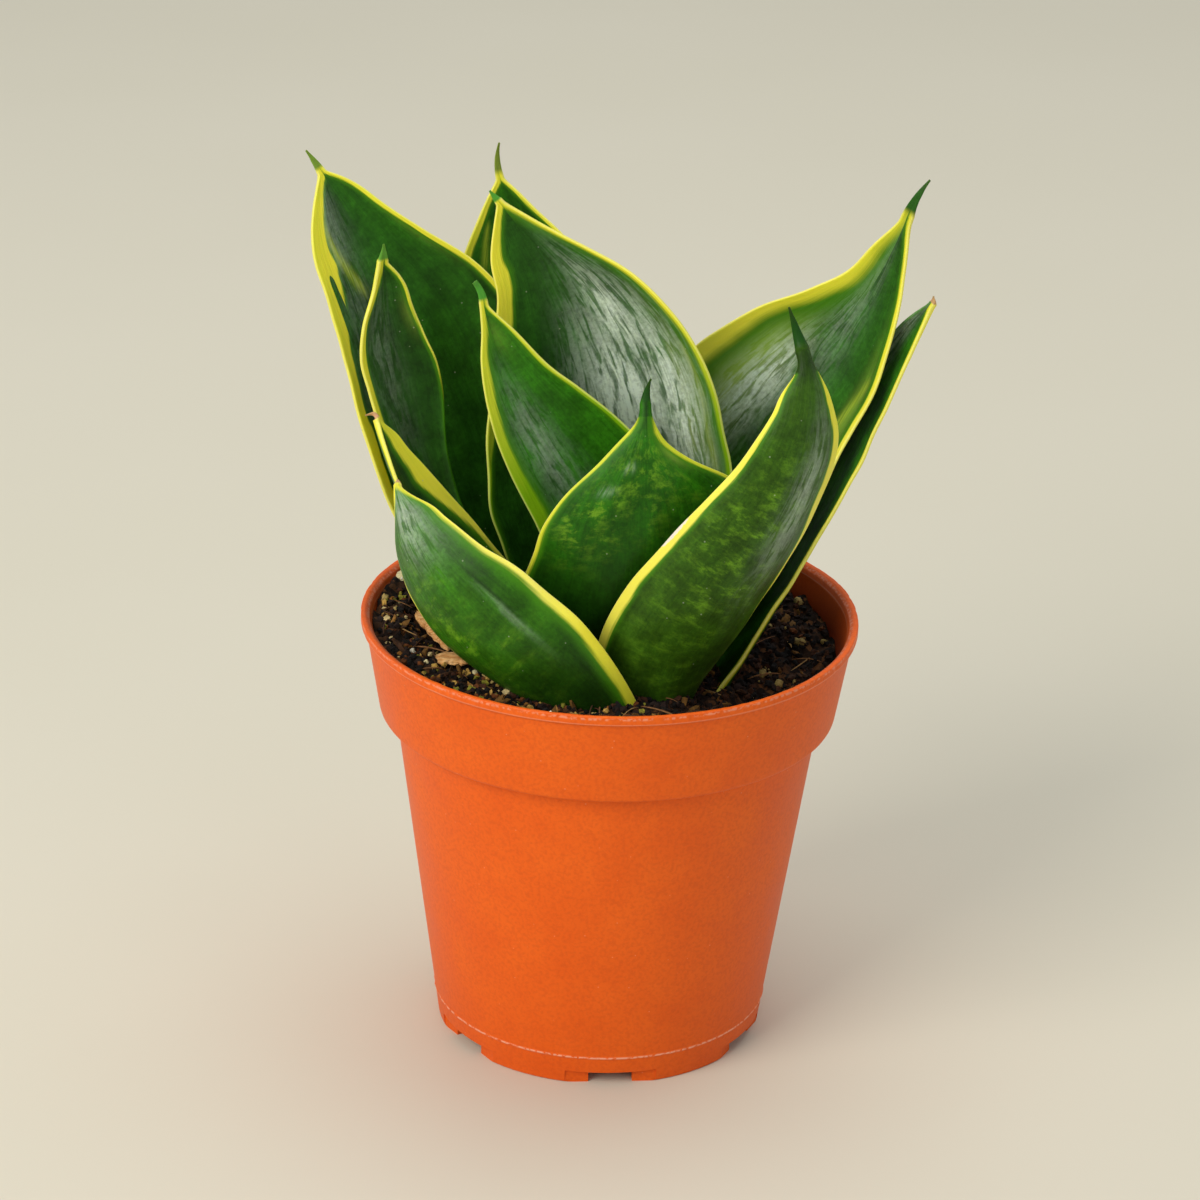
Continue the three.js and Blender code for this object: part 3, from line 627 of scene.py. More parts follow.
def waxy_leaf_skin():
    """Living snake plant leaf: a tough cuticle with a thin wax. It gives the eye a deep green with long
    fine streaks, a soft gloss, yellow margins that blend in through lime, and grey bloom in streaks, which
    is partly a painted sheen. Patches of painted shade darken the green."""
    material, tree, place = new_material(
        "waxy_leaf_skin", IOR=1.42, Coat_Weight=0.05, Coat_Roughness=0.2, Specular_IOR_Level=0.15,
        Subsurface_Weight=0.25, Subsurface_Scale=1.6 * MM, Subsurface_Radius=(0.8, 1.0, 0.15),
    )

    def packed(name):
        """The three numbers that leaf_marks has put into one attribute."""
        vector = add(tree, ATTRIBUTE, out="Vector", attribute_name=name)
        return add(tree, SEPARATE, (vector,)).node.outputs

    def lengthwise(squeeze, scale, detail, distortion=0.0):
        """Noise drawn out along the veins, which run together towards the tip as the blade narrows."""
        drawn = add(tree, COMBINE, (vein, product(tree, along, squeeze), leaf_number))
        sockets = {"Vector": drawn, "Scale": scale, "Detail": detail, "Distortion": distortion}
        return add(tree, NOISE, sockets)

    vein, along, leaf_number = packed("lay")
    rim, band, lime = packed("edge")
    bloom_and_sheen, mottle, shade = packed("sheen_mottle_and_shade")
    spike, tone, streak = packed("tip")
    soft, hue, haze = packed("blend")

    # Fibres run the length of the blade: about 0.6 mm apart, and broader ones 4 mm apart.
    fibre = lengthwise(0.03, 1.6, 3.0)
    broad = lengthwise(0.06, 0.24, 2.0, 0.3)
    wrinkle = lengthwise(0.2, 0.75, 5.0, 0.6)
    cells = add(tree, NOISE, {"Vector": place, "Scale": 1100.0, "Detail": 4.0, "Roughness": 0.65})
    clouds = add(tree, NOISE, {"Vector": place, "Scale": 160.0, "Detail": 3.0})

    # The margin's inner border wanders by a tenth of its width, and is a little frayed along the fibres.
    wander_place = add(tree, COMBINE, (0.0, along, leaf_number))
    wander = add(tree, NOISE, {"Vector": wander_place, "Scale": 0.07, "Detail": 2.0})
    stretch = add(tree, RANGE, (wander, 0.3, 0.7, 0.85, 1.15))
    fray = add(tree, RANGE, (fibre, 0.3, 0.7, -0.2, 0.2))
    border = add(tree, MATH, (product(tree, band, stretch), fray), operation="ADD")
    dark_streak = add(tree, RANGE, (streak, -0.2, -0.7, 0.0, 6.0))
    inwards = add(tree, MATH, (rim, border), operation="SUBTRACT")
    inwards = add(tree, MATH, (inwards, dark_streak), operation="ADD")
    inwards = add(tree, MATH, (inwards, soft), operation="DIVIDE")
    green_share = add(tree, RANGE, (inwards, -0.7, 0.7), **SMOOTH)
    deep_share = add(tree, RANGE, (inwards, 0.0, 3.2), **SMOOTH)

    # Greens: leaf green to a dark blue-green or to olive, in long streaks, with a fine cell mottle.
    fresh = layered(tree, "#1e5608", (broad, "#3a860e"))
    deep = layered(tree, "#16340e", (broad, "#2c571c"))
    olive = add(tree, RANGE, (hue, 0.0, -1.0))
    fine = add(tree, RANGE, (fibre, 0.4, 0.75, 0.0, 0.4))
    patchy = add(tree, RANGE, (clouds, 0.35, 0.65, 0.72, 1.28))
    shimmer = add(tree, RANGE, (cells, 0.35, 0.7, 0.78, 1.25))
    green = layered(tree, fresh, (hue, deep), (olive, "#3f5a12"), (fine, "#173d0a"))
    green = layered(tree, green, (1.0, patchy), (1.0, shimmer), blend_type="MULTIPLY")

    # Cross bands, 1 to 3 mm apart and broken, in clouds 10 mm across, as snake plants have outside. Then
    # the lime haze, and the painted shade: a near-black green laid where blades shade one another and at
    # their feet.
    cross_place = add(tree, COMBINE, (product(tree, vein, 0.45), along, leaf_number))
    cross = add(tree, NOISE, {"Vector": cross_place, "Scale": 0.4, "Detail": 7.0, "Roughness": 0.72})
    cross = add(tree, RANGE, (cross, 0.46, 0.7), **SMOOTH)
    clustered = add(tree, RANGE, (clouds, 0.4, 0.62, 0.35, 1.0))
    crossed = product(tree, cross, clustered, mottle, use_clamp=True)
    hazy = product(tree, haze, add(tree, RANGE, (fibre, 0.3, 0.65, 0.6, 1.0)), use_clamp=True)
    dark = product(tree, shade, 0.85)
    green = layered(tree, green, (crossed, "#78ac24"), (hazy, "#9dbd45"), (dark, "#0b1f05"))

    # The blend inside the margin, and the yellow-green streaks.
    green = layered(tree, "#437f0e", (deep_share, green))
    streaky = product(tree, streak, add(tree, RANGE, (fibre, 0.3, 0.6, 0.3, 1.0)), use_clamp=True)
    green = layered(tree, green, (streaky, "#b9c83a"))

    # The margin, from yellow to lime or to cream, and the pale cuticle of its rim.
    lime_noise = add(tree, RANGE, (broad, 0.3, 0.7, -0.12, 0.15))
    lime_share = add(tree, MATH, (lime, lime_noise), operation="ADD", use_clamp=True)
    cream_share = add(tree, RANGE, (lime, 0.0, -1.0))
    margin = layered(tree, "#f5eb40", (lime_share, "#84b411"), (cream_share, "#e3dc93"))
    rim_line = add(tree, RANGE, (rim, 0.06, 0.28, 0.45, 0.0))
    has_margin = add(tree, RANGE, (band, 0.0, 0.4))
    rim_line = product(tree, rim_line, has_margin)

    # Bloom: a thin grey wax with a painted sheen on it, which lies in broken, drawn-out streaks, with the
    # green between them. Where the bloom's strength is far above one it is a corky scar. Specks of dust lie
    # over both.
    wax_sheen_and_shade = add(tree, RANGE, (wrinkle, 0.37, 0.56, 0.2, 1.0), **SMOOTH)
    thin_streaks = add(tree, RANGE, (fibre, 0.38, 0.6, 0.74, 1.0))
    grainy = add(tree, RANGE, (cells, 0.3, 0.6, 0.6, 1.0))
    wax_sheen_and_shade = product(tree, wax_sheen_and_shade, thin_streaks, grainy, bloom_and_sheen, green_share, use_clamp=True)
    cork = add(tree, RANGE, (product(tree, bloom_and_sheen, grainy), 1.6, 2.2))
    dust = add(tree, CELLS, {"Vector": place, "Scale": 260.0}, feature="F1")
    dust = add(tree, RANGE, (dust, 0.035, 0.055, 0.4, 0.0))

    # The spike: dark or light green, olive, or dry and tan, and a little darker at its very end.
    ripening = [(0.0, "#1c4a0e"), (0.35, "#4f9a34"), (0.62, "#8c8f36"), (1.0, "#d0a078")]
    spike_tones = set_tones(add(tree, RAMP, (tone,)), ripening)
    end = add(tree, RANGE, (spike, 0.6, 1.0, 0.0, 0.4))
    spike_colour = layered(tree, spike_tones, (end, "#3f3a1c"))
    spike_share = add(tree, RANGE, (spike, 0.02, 0.25), **SMOOTH)
    colour = layered(
        tree, margin, (green_share, green), (rim_line, "#efe98e"), (wax_sheen_and_shade, "#deecd8"), (cork, "#efe4cf"),
        (dust, "#b9c2a6"), (spike_share, spike_colour),
    )

    rough = add(tree, RANGE, (cells, 0.3, 0.7, 0.36, 0.5))
    ridges = add(tree, MATH, (product(tree, wrinkle, 2.0), cells), operation="ADD")
    bump = add(tree, BUMP, {"Height": ridges, "Distance": 0.00015, "Strength": 0.5})
    return plug(material, Base_Color=colour, Roughness=rough, Normal=bump)


# ---- Pot ---------------------------------------------------------------------------------------------

POT_COLUMNS = 600
POT_HEIGHT = 97
BASE_RADIUS = 36
FOOT_RING_WIDTH = 2.8
FOOT_INSIDE = BASE_RADIUS - FOOT_RING_WIDTH
PLATE_LIFT = 3
PLATE_THICKNESS = 1.6
WALL = 1.4
MOULD_LINE = dict(height=7, half=0.5, proud=0.25)
COLLAR = dict(bottom=75, under=46.4, low=49.8, top=53, step=0.3, shelf=1.6)
LIP = dict(radius=54, height=1.9, width=1.8, slope=0.6)
NOTCH = dict(count=6, first=5, width=20, height=3.1, depth=1.4)
DRAIN = dict(width=9.6, height=2.65, radius=3.5, from_axis=28.5)
LIP_FOOT = POT_HEIGHT - LIP["height"]
SHELF = COLLAR["bottom"] + COLLAR["shelf"]
PLATE_TOP = PLATE_LIFT + PLATE_THICKNESS
SOIL_LEVEL = 91.6
COLLAR_SLOPE = (COLLAR["top"] - COLLAR["low"]) / (LIP_FOOT - SHELF)
# Half way through the collar's wall, once the slope times the height is taken off the radius.
COLLAR_MIDDLE = COLLAR["low"] - WALL / 2 - COLLAR_SLOPE * SHELF


def body_radius(height):
    """Outer radius of the tapered body."""
    return BASE_RADIUS + (COLLAR["under"] - BASE_RADIUS) / COLLAR["bottom"] * height


def collar_inside(height):
    """Inner radius of the collar."""
    share = (height - SHELF) / (LIP_FOOT - SHELF)
    return COLLAR["low"] + (COLLAR["top"] - COLLAR["low"]) * share - WALL


# The pot's outline from the axis out and back: radius, height and how far the corner is rounded off.
MOULD = MOULD_LINE["height"]
MOULD_LOW, MOULD_HIGH = MOULD - MOULD_LINE["half"], MOULD + MOULD_LINE["half"]
POT_OUTLINE = [
    (0, PLATE_LIFT, 0),
    (FOOT_INSIDE, PLATE_LIFT, 0.3),
    (FOOT_INSIDE, 0, 0.3),
    (BASE_RADIUS, 0, 0.45),
    (body_radius(MOULD_LOW), MOULD_LOW, 0.15),
    (body_radius(MOULD) + MOULD_LINE["proud"], MOULD, 0.15),
    (body_radius(MOULD_HIGH), MOULD_HIGH, 0.15),
    (COLLAR["under"], COLLAR["bottom"], 0.5),
    (COLLAR["low"], COLLAR["bottom"] + COLLAR["step"], 1.0),
    (COLLAR["top"], LIP_FOOT - LIP["slope"], 0.35),
    (LIP["radius"], LIP_FOOT, 0.3),
    (LIP["radius"], POT_HEIGHT, 0.35),
    (LIP["radius"] - LIP["width"] / 2, POT_HEIGHT, 0.3),
    (LIP["radius"] - LIP["width"] - 0.1, LIP_FOOT + 1.2, 0.3),
    (collar_inside(LIP_FOOT), LIP_FOOT, 0.3),
    (collar_inside(SHELF), SHELF, 0.5),
    (body_radius(COLLAR["bottom"]) - WALL, SHELF - 1, 0.5),
    (body_radius(PLATE_TOP) - WALL, PLATE_TOP, 1.0),
    (0, PLATE_TOP, 0),
]


def rounded_outline(corners, step):
    """Straight runs between corners, cut into steps, with each corner eased by a short parabola."""
    corners = np.array(corners, float)
    places = corners[:, :2]
    ease = np.linspace(0, 1, 6)[:, None]
    line = [places[:1]]
    for before, corner, after, cut in zip(places[:-2], places[1:-1], places[2:], corners[1:-1, 2]):
        start = corner + unit(before - corner) * cut
        end = corner + unit(after - corner) * cut
        run = np.linalg.norm(start - line[-1][-1])
        pieces = max(int(run / step), 1)
        line.append(line[-1][-1] + (start - line[-1][-1]) * np.linspace(0, 1, pieces + 1)[1:, None])
        line.append(((1 - ease) ** 2 * start + 2 * ease * (1 - ease) * corner + ease**2 * end)[1:])
    line.append(places[-1:])
    return np.vstack(line)


def turned_solid(line, columns, change=None):
    """A line of (radius, height) from axis to axis, turned about Z: rings for all but its two ends, which
    are poles. `change` may move the grid of points before the faces are made."""
    angle = circle(columns)
    rings = line[1:-1]
    radius = np.repeat(rings[:, :1], columns, 1)
    height = np.repeat(rings[:, 1:], columns, 1)
    if change:
        radius, height = change(radius, height, angle)
    grid = np.stack([radius * np.cos(angle), radius * np.sin(angle), height], -1)
    points = np.vstack([grid.reshape(-1, 3), [[0, 0, line[0][1]], [0, 0, line[-1][1]]]])
    return points, closed_faces(len(rings), columns)


def ragged_lip(radius, height, angle):
    """The lip was trimmed hot: slow and quick noise round it moves its height and radius a little, with
    nicks where a third noise is high. The mould line is broken where the quick noise is high."""
    ring = np.stack([np.cos(angle), np.sin(angle), 0 * angle], -1) * LIP["radius"]
    slow = lattice_noise(ring, (16, 16, 16), 3)
    quick = lattice_noise(ring, (1.3, 1.3, 1.3), 4)
    nicks = np.clip(lattice_noise(ring, (2.4, 2.4, 2.4), 5) - 0.5, 0, 1)
    on_lip = np.clip((height - LIP_FOOT + 0.3) / 0.6, 0, 1)
    outside = radius > LIP["radius"] - 1
    radius = radius + on_lip * (0.12 * slow + 0.03 * quick * outside - 0.35 * nicks * outside)
    height = height + np.clip((height - LIP_FOOT) / LIP["height"], 0, 1) * (0.14 * slow + 0.06 * quick)
    seam = np.clip(1 - np.abs(height - MOULD) / MOULD_LINE["half"], 0, 1) * (radius > FOOT_INSIDE)
    radius = radius - seam * 0.15 * np.clip(0.5 + quick, 0, 1)
    return radius, height


def box_points(width, height, start, end, angle):
    """A block across the foot ring at an angle from the front, between two distances from the axis."""
    corner = np.array(list(np.ndindex(2, 2, 2)), float)
    x = (corner[:, 0] - 0.5) * width
    y = -(start + (end - start) * corner[:, 1])
    return np.stack([*turned(x, y, angle), (corner[:, 2] * 2 - 1) * height], -1)


BOX_FACES = [(0, 2, 3, 1), (4, 5, 7, 6), (0, 1, 5, 4), (2, 6, 7, 3), (0, 4, 6, 2), (1, 3, 7, 5)]


DRUM_SIDES = 32
DRUM_REACH = 12  # half its height, so that it goes through the bottom
CUT_PAST = 2  # how far the blocks go past the foot ring


def cylinder_points(radius, height, middle, angle):
    """An upright drum, some way out from the axis, at an angle from the front."""
    turn = circle(DRUM_SIDES)
    x = radius * np.cos(turn)
    y = radius * np.sin(turn) - middle
    disc = np.stack([*turned(x, y, angle), 0 * x], -1)
    return np.vstack([disc - [0, 0, height], disc + [0, 0, height]])


def make_cutters():
    """Recess, spout and drain hole for each of the notches, as one mesh of blocks and drums per kind."""
    kinds = {"recess": [], "spout": [], "drain": []}
    outside = BASE_RADIUS + CUT_PAST
    inside = FOOT_INSIDE - CUT_PAST
    recess = BASE_RADIUS - NOTCH["depth"]
    for i in range(NOTCH["count"]):
        angle = math.radians(NOTCH["first"] + i * 360 / NOTCH["count"])
        kinds["recess"].append(box_points(NOTCH["width"], NOTCH["height"], recess, outside, angle))
        kinds["spout"].append(box_points(DRAIN["width"], DRAIN["height"], inside, outside, angle))
        kinds["drain"].append(cylinder_points(DRAIN["radius"], DRUM_REACH, DRAIN["from_axis"], angle))
    cutters = []
    ring = list(range(DRUM_SIDES))
    drum = loop_faces(2, DRUM_SIDES).tolist() + [ring[::-1], [corner + DRUM_SIDES for corner in ring]]
    for kind, blocks in kinds.items():
        shape = drum if kind == "drain" else BOX_FACES
        size = len(blocks[0])
        faces = [[corner + i * size for corner in face] for i in range(len(blocks)) for face in shape]
        mesh = bpy.data.meshes.new(kind)
        mesh.from_pydata(np.vstack(blocks) * MM, [], faces)
        body = bmesh.new()
        body.from_mesh(mesh)
        bmesh.ops.recalc_face_normals(body, faces=body.faces)
        body.to_mesh(mesh)
        body.free()
        cutter = bpy.data.objects.new(kind, mesh)
        bpy.context.scene.collection.objects.link(cutter)
        cutters.append(cutter)
    return cutters


def applied(piece, cutters):
    """Cuts the cutters out of the piece for good, and takes them out of the scene."""
    for cutter in cutters:
        cut = piece.modifiers.new(cutter.name, "BOOLEAN")
        cut.operation = "DIFFERENCE"
        cut.solver = "MANIFOLD"
        cut.object = cutter
    evaluated = piece.evaluated_get(bpy.context.evaluated_depsgraph_get())
    mesh = bpy.data.meshes.new_from_object(evaluated)
    piece.modifiers.clear()
    piece.data = mesh
    for cutter in cutters:
        bpy.data.objects.remove(cutter)


def make_pot():
    """The pot, turned about Z, with its notches, spouts and drain holes cut out."""
    line = rounded_outline(POT_OUTLINE, 3.0)
    points, faces = turned_solid(line, POT_COLUMNS, ragged_lip)
    piece = mesh_piece("growers_pot", points, faces, moulded_polypropylene())
    applied(piece, make_cutters())
    piece.data.set_sharp_from_angle(angle=math.radians(40))
    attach(piece, "root")
    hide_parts("pot")


def moulded_polypropylene():
    """Polypropylene, injection moulded and coloured in the mass. It gives the eye an even orange with a
    satin skin, faint cloudy flow marks, tiny pale specks, and paler stressed edges at the lip with painted
    highlights along them. Painted shade darkens the inside of the collar and the body towards the foot."""
    material, tree, place = new_material("moulded_polypropylene", IOR=1.49, Specular_IOR_Level=0.22)
    height = add(tree, SEPARATE, (place,), out="Z")
    cloud = add(tree, NOISE, {"Vector": place, "Scale": 70.0, "Detail": 5.0, "Roughness": 0.62})
    cloud = add(tree, RANGE, (cloud, 0.3, 0.7))
    # Orange peel of the mould, 0.5 mm apart, drawn a little coarser than it is so that it shows.
    peel = add(tree, NOISE, {"Vector": place, "Scale": 1300.0, "Detail": 2.0})
    fine = add(tree, RANGE, (peel, 0.42, 0.68, 0.0, 0.38))
    specks = add(tree, CELLS, {"Vector": place, "Scale": 300.0}, feature="F1")
    specks = add(tree, RANGE, (specks, 0.03, 0.06, 0.45, 0.0))
    # Painted shade: the orange is darker towards the foot, near the floor.
    low = add(tree, RANGE, (height, 4 * MM, 40 * MM, 0.2, 0.0))
    skin = [(cloud, "#eb6615"), (fine, "#c84a12"), (specks, "#f0a27c"), (low, "#c84a0c")]
    colour = layered(tree, "#e25b0f", *skin)

    # Pale lines of stressed plastic; those at the lip's top edge and at its foot are also painted highlights.
    # Height of each line, its reach to both sides, strength, and how broken it is.
    ragged = add(tree, NOISE, {"Vector": place, "Scale": 1100.0, "Detail": 5.0})
    lines = ((POT_HEIGHT - 0.5, 0.4, 0.42, 0.5), (LIP_FOOT + 0.1, 0.22, 0.3, 0.3), (MOULD, 0.35, 0.75, 0.45))
    for line, reach, strength, broken in lines:
        away = add(tree, MATH, (height, line * MM), operation="SUBTRACT")
        away = add(tree, MATH, (away,), operation="ABSOLUTE")
        pale = add(tree, RANGE, (away, 0.2 * reach * MM, reach * MM, strength, 0.0))
        left = add(tree, RANGE, (ragged, broken - 0.05, broken + 0.08))
        colour = layered(tree, colour, (product(tree, pale, left), "#f3b79a"))

    # Painted shade on the inside of the collar: a dark brown laid over the orange, stronger further down.
    sideways = add(tree, VECTOR_MATH, (place, (1, 1, 0)), operation="MULTIPLY")
    radius = add(tree, VECTOR_MATH, (sideways,), out="Value", operation="LENGTH")
    slant = product(tree, height, COLLAR_SLOPE)
    upright = add(tree, MATH, (radius, slant), operation="SUBTRACT")
    inner_side = add(tree, RANGE, (upright, (COLLAR_MIDDLE + 0.3) * MM, COLLAR_MIDDLE * MM))
    above_shelf = add(tree, RANGE, (height, (SHELF - 0.4) * MM, SHELF * MM))
    deeper = add(tree, RANGE, (height, (POT_HEIGHT - 1) * MM, (SOIL_LEVEL - 3) * MM, 0.3, 0.9))
    wax_sheen_and_shade = product(tree, inner_side, above_shelf, deeper)
    colour = layered(tree, colour, (wax_sheen_and_shade, "#6e2408"))
    rough = add(tree, RANGE, {0: cloud, 3: 0.42, 4: 0.52})
    bump = add(tree, BUMP, {"Height": peel, "Distance": 0.00006, "Strength": 0.4})
    return plug(material, Base_Color=colour, Roughness=rough, Normal=bump)


# ---- Bark --------------------------------------------------------------------------------------------

BARK_ROWS = 90
BARK_COLUMNS = 48
# Each piece of bark: its middle, its size, its turn about Z and its tilt about its own length (degrees).
BARK = {
    "bark_splinter": dict(at=(-37.9, -5.2, 93.6), length=20.5, width=3.4, thickness=1.4, turn=-69, tilt=2),
    "bark_chip": dict(at=(-33.3, -20.2, 93.9), length=7.2, width=4.6, thickness=1.2, turn=-22, tilt=4),
}


def make_bark(name, bark, material, seed):
    """A torn splinter: sections along its length whose breadth and thickness taper to ragged ends, with
    ridges along the grain from noise that changes fast round the section and slowly along it."""
    run = np.linspace(-1, 1, BARK_ROWS)
    turn = circle(BARK_COLUMNS)
    taper = (1 - np.abs(run) ** 3) ** 0.6
    slow = np.stack([run * 5, 0 * run, 0 * run], -1)
    breadth = bark["width"] / 2 * taper * (1 + 0.22 * lattice_noise(slow, 1.0, seed))
    depth = bark["thickness"] / 2 * (0.35 + 0.65 * taper) * taper**0.3
    flat = np.sign(np.cos(turn)) * np.abs(np.cos(turn)) ** 0.7
    tall = np.sign(np.sin(turn)) * np.abs(np.sin(turn)) ** 0.6
    grain_place = np.stack(np.broadcast_arrays(run[:, None] * 3, np.cos(turn) * 5, np.sin(turn) * 5), -1)
    grain = 1 + 0.2 * lattice_noise(grain_place, 1.0, seed + 1)
    along = run[:, None] * bark["length"] / 2
    along = along + lattice_noise(grain_place * 1.7, 1.0, seed + 2) * 0.9 * (np.abs(run) ** 6)[:, None]
    bow = 0.5 * lattice_noise(slow, 2.5, seed + 3)
    across = breadth[:, None] * flat * grain + bow[:, None]
    up = depth[:, None] * tall * grain
    across, up = turned(across, up, math.radians(bark["tilt"]))
    along, across = turned(along, across, math.radians(bark["turn"]))
    points = np.stack([along, across, up], -1) + np.array(bark["at"])
    points = np.vstack([points.reshape(-1, 3), points[[0, -1]].mean(1)])
    piece = mesh_piece(name + "_torn", points, closed_faces(BARK_ROWS, BARK_COLUMNS), material)
    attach(piece, "root")
    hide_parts(name)


def torn_bark():
    """Pine bark, torn along its grain. It gives the eye tan fibres with darker, redder seams, quite matt."""
    material, tree, place = new_material("torn_bark", Roughness=0.85, Specular_IOR_Level=0.3)
    back = (0, 0, -math.radians(BARK["bark_splinter"]["turn"]))
    drawn = add(tree, "ShaderNodeMapping", {"Vector": place, "Rotation": back, "Scale": (0.12, 1, 1)})
    grain = add(tree, NOISE, {"Vector": drawn, "Scale": 1500.0, "Detail": 5.0, "Roughness": 0.65})
    tones = [(0.3, "#8c5628"), (0.44, "#c98c4e"), (0.58, "#dfae70"), (0.72, "#eed2a4")]
    colour = set_tones(add(tree, RAMP, (grain,)), tones)
    bump = add(tree, BUMP, {"Height": grain, "Distance": 0.0004, "Strength": 0.9})
    return plug(material, Base_Color=colour, Normal=bump)


def rhizome_skin():
    """Rhizome bark: a corky, ochre skin with darker rings. It is under the mix, and hardly seen."""
    material, tree, place = new_material("rhizome_skin", Roughness=0.75)
    wavy = {"Vector": place, "Scale": 60.0, "Distortion": 3.0}
    rings = add(tree, "ShaderNodeTexWave", wavy, bands_direction="Z")
    bump = add(tree, BUMP, {"Height": rings, "Distance": 0.0003, "Strength": 0.5})
    return plug(material, Base_Color=layered(tree, "#9c6530", (rings, "#c98f4e")), Normal=bump)


# ---- Potting mix -------------------------------------------------------------------------------------

# The mix has slow lumps, a hollow at the front right, and clods, crumbs and grit on top of them.
SOIL_LUMP = 0.6
HOLLOW = dict(x=42, y=-18, reach_x=26, reach_y=30, depth=11)
BANK = dict(height=3.2, reach=9)  # the mix lies higher against the wall on the left
CLODS = dict(height=0.9, cell=4.2)
CRUMBS = dict(height=0.7, cell=1.9)
GRIT = dict(height=0.35, cell=0.8)
SETTLED = 0.6  # lets the level down by what the grains add
SOIL_GAP = dict(side=0.35, bottom=0.4, shelf=0.65)
SOIL_RINGS = 110
SOIL_COLUMNS = 360
# The grains on the right are given darker tones, as painted shade.
RIGHT_SHADE = dict(from_x=8, paleness=0.72)


def soil_height(x, y):
    """Level as in the solid, with crumbs 1 to 4 mm across heaped on it. It goes under the bark."""
    away = ((x - HOLLOW["x"]) / HOLLOW["reach_x"]) ** 2 + ((y - HOLLOW["y"]) / HOLLOW["reach_y"]) ** 2
    lumps = np.sin(0.47 * x + 1.3) * np.cos(0.53 * y) + 0.5 * np.sin(0.9 * x - 0.7 * y)
    place = np.stack([x, y, 0 * x], -1)
    crumbs = CLODS["height"] * lattice_noise(place, CLODS["cell"], 11)
    crumbs = crumbs + CRUMBS["height"] * np.abs(lattice_noise(place, CRUMBS["cell"], 12))
    grit = GRIT["height"] * lattice_noise(place, GRIT["cell"], 13)
    to_wall = (collar_inside(SOIL_LEVEL) - np.hypot(x, y)) / BANK["reach"]
    bank = BANK["height"] * np.exp(-(to_wall**2)) * np.clip(-x / 30, 0, 1)
    level = SOIL_LEVEL - HOLLOW["depth"] * np.exp(-away) + SOIL_LUMP * lumps + bank + crumbs + grit - SETTLED
    for bark in BARK.values():
        ahead, aside = along_bark(bark, x, y)
        near = np.clip(2.5 - 2 * np.hypot(ahead / bark["length"], aside / bark["width"]), 0, 1)
        level = level + near * (np.minimum(level, bark["at"][2] - 0.5) - level)
    return level


def along_bark(bark, x, y):
    """How far places are from the middle of a piece of bark, along it and across it."""
    return turned(x - bark["at"][0], y - bark["at"][1], -math.radians(bark["turn"]))


def heap_soil(radius, height, angle):
    """Lets the top rings down to the mix's height, and draws them in to the wall there."""
    top = height > POT_HEIGHT - 0.5
    x = radius * np.cos(angle)
    y = radius * np.sin(angle)
    level = soil_height(x, y)
    reach = collar_inside(level) - 0.1
    return np.where(top, np.minimum(radius, reach), radius), np.where(top, level, height)


def make_soil(peat):
    """A filling that follows the pot's inside, turned about Z, with its top let down to the mix's height."""
    bottom = PLATE_TOP + SOIL_GAP["bottom"]
    side = WALL + SOIL_GAP["side"]
    edge = collar_inside(LIP_FOOT)
    rings = [(edge * (1 - i / SOIL_RINGS), POT_HEIGHT) for i in range(SOIL_RINGS)]
    line = [
        (0, bottom),
        (body_radius(PLATE_TOP) - side, bottom),
        (body_radius(COLLAR["bottom"]) - side, SHELF - SOIL_GAP["shelf"]),
        (collar_inside(SHELF) - SOIL_GAP["side"], SHELF + SOIL_GAP["side"]),
        *rings,
        (0, float(soil_height(np.zeros(1), np.zeros(1))[0])),
    ]
    points, faces = turned_solid(np.array(line), SOIL_COLUMNS, heap_soil)
    piece = mesh_piece("potting_mix_filling", points, faces, peat)
    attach(piece, "root")
    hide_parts("soil")


def ball(subdivisions):
    """Corners and triangles of a small round solid."""
    body = bmesh.new()
    bmesh.ops.create_icosphere(body, subdivisions=subdivisions, radius=1)
    points = np.array([corner.co for corner in body.verts])
    faces = np.array([[corner.index for corner in face.verts] for face in body.faces])
    body.free()
    return points, faces


def turns(count, random):
    """Random rotations, from unit quaternions."""
    w, x, y, z = unit(random.normal(size=(count, 4))).T
    rows = [
        (1 - 2 * (y * y + z * z), 2 * (x * y - z * w), 2 * (x * z + y * w)),
        (2 * (x * y + z * w), 1 - 2 * (x * x + z * z), 2 * (y * z - x * w)),
        (2 * (x * z - y * w), 2 * (y * z + x * w), 1 - 2 * (x * x + y * y)),
    ]
    return np.stack([np.stack(row, -1) for row in rows], 1)


def kept_inside(x, y, inside):
    """Draws places in towards the axis until they are clear of the wall by `inside`."""
    reach = collar_inside(soil_height(x, y)) - inside
    pull = np.minimum(1, reach / np.hypot(x, y))
    return x * pull, y * pull


def scatter(random, count, inside=1.1):
    """Places on the mix, thrown evenly over its disc, but not on the two pieces of bark."""
    radius = np.sqrt(random.uniform(0.02, 1, count)) * (collar_inside(SOIL_LEVEL) - inside)
    angle = random.uniform(0, 2 * np.pi, count)
    x, y = radius * np.cos(angle), radius * np.sin(angle)
    free = np.ones(count, bool)
    for bark in BARK.values():
        ahead, aside = along_bark(bark, x, y)
        free &= (np.abs(ahead) > bark["length"] / 2) | (np.abs(aside) > bark["width"] / 2 + 0.4)
    return kept_inside(x[free], y[free], inside)


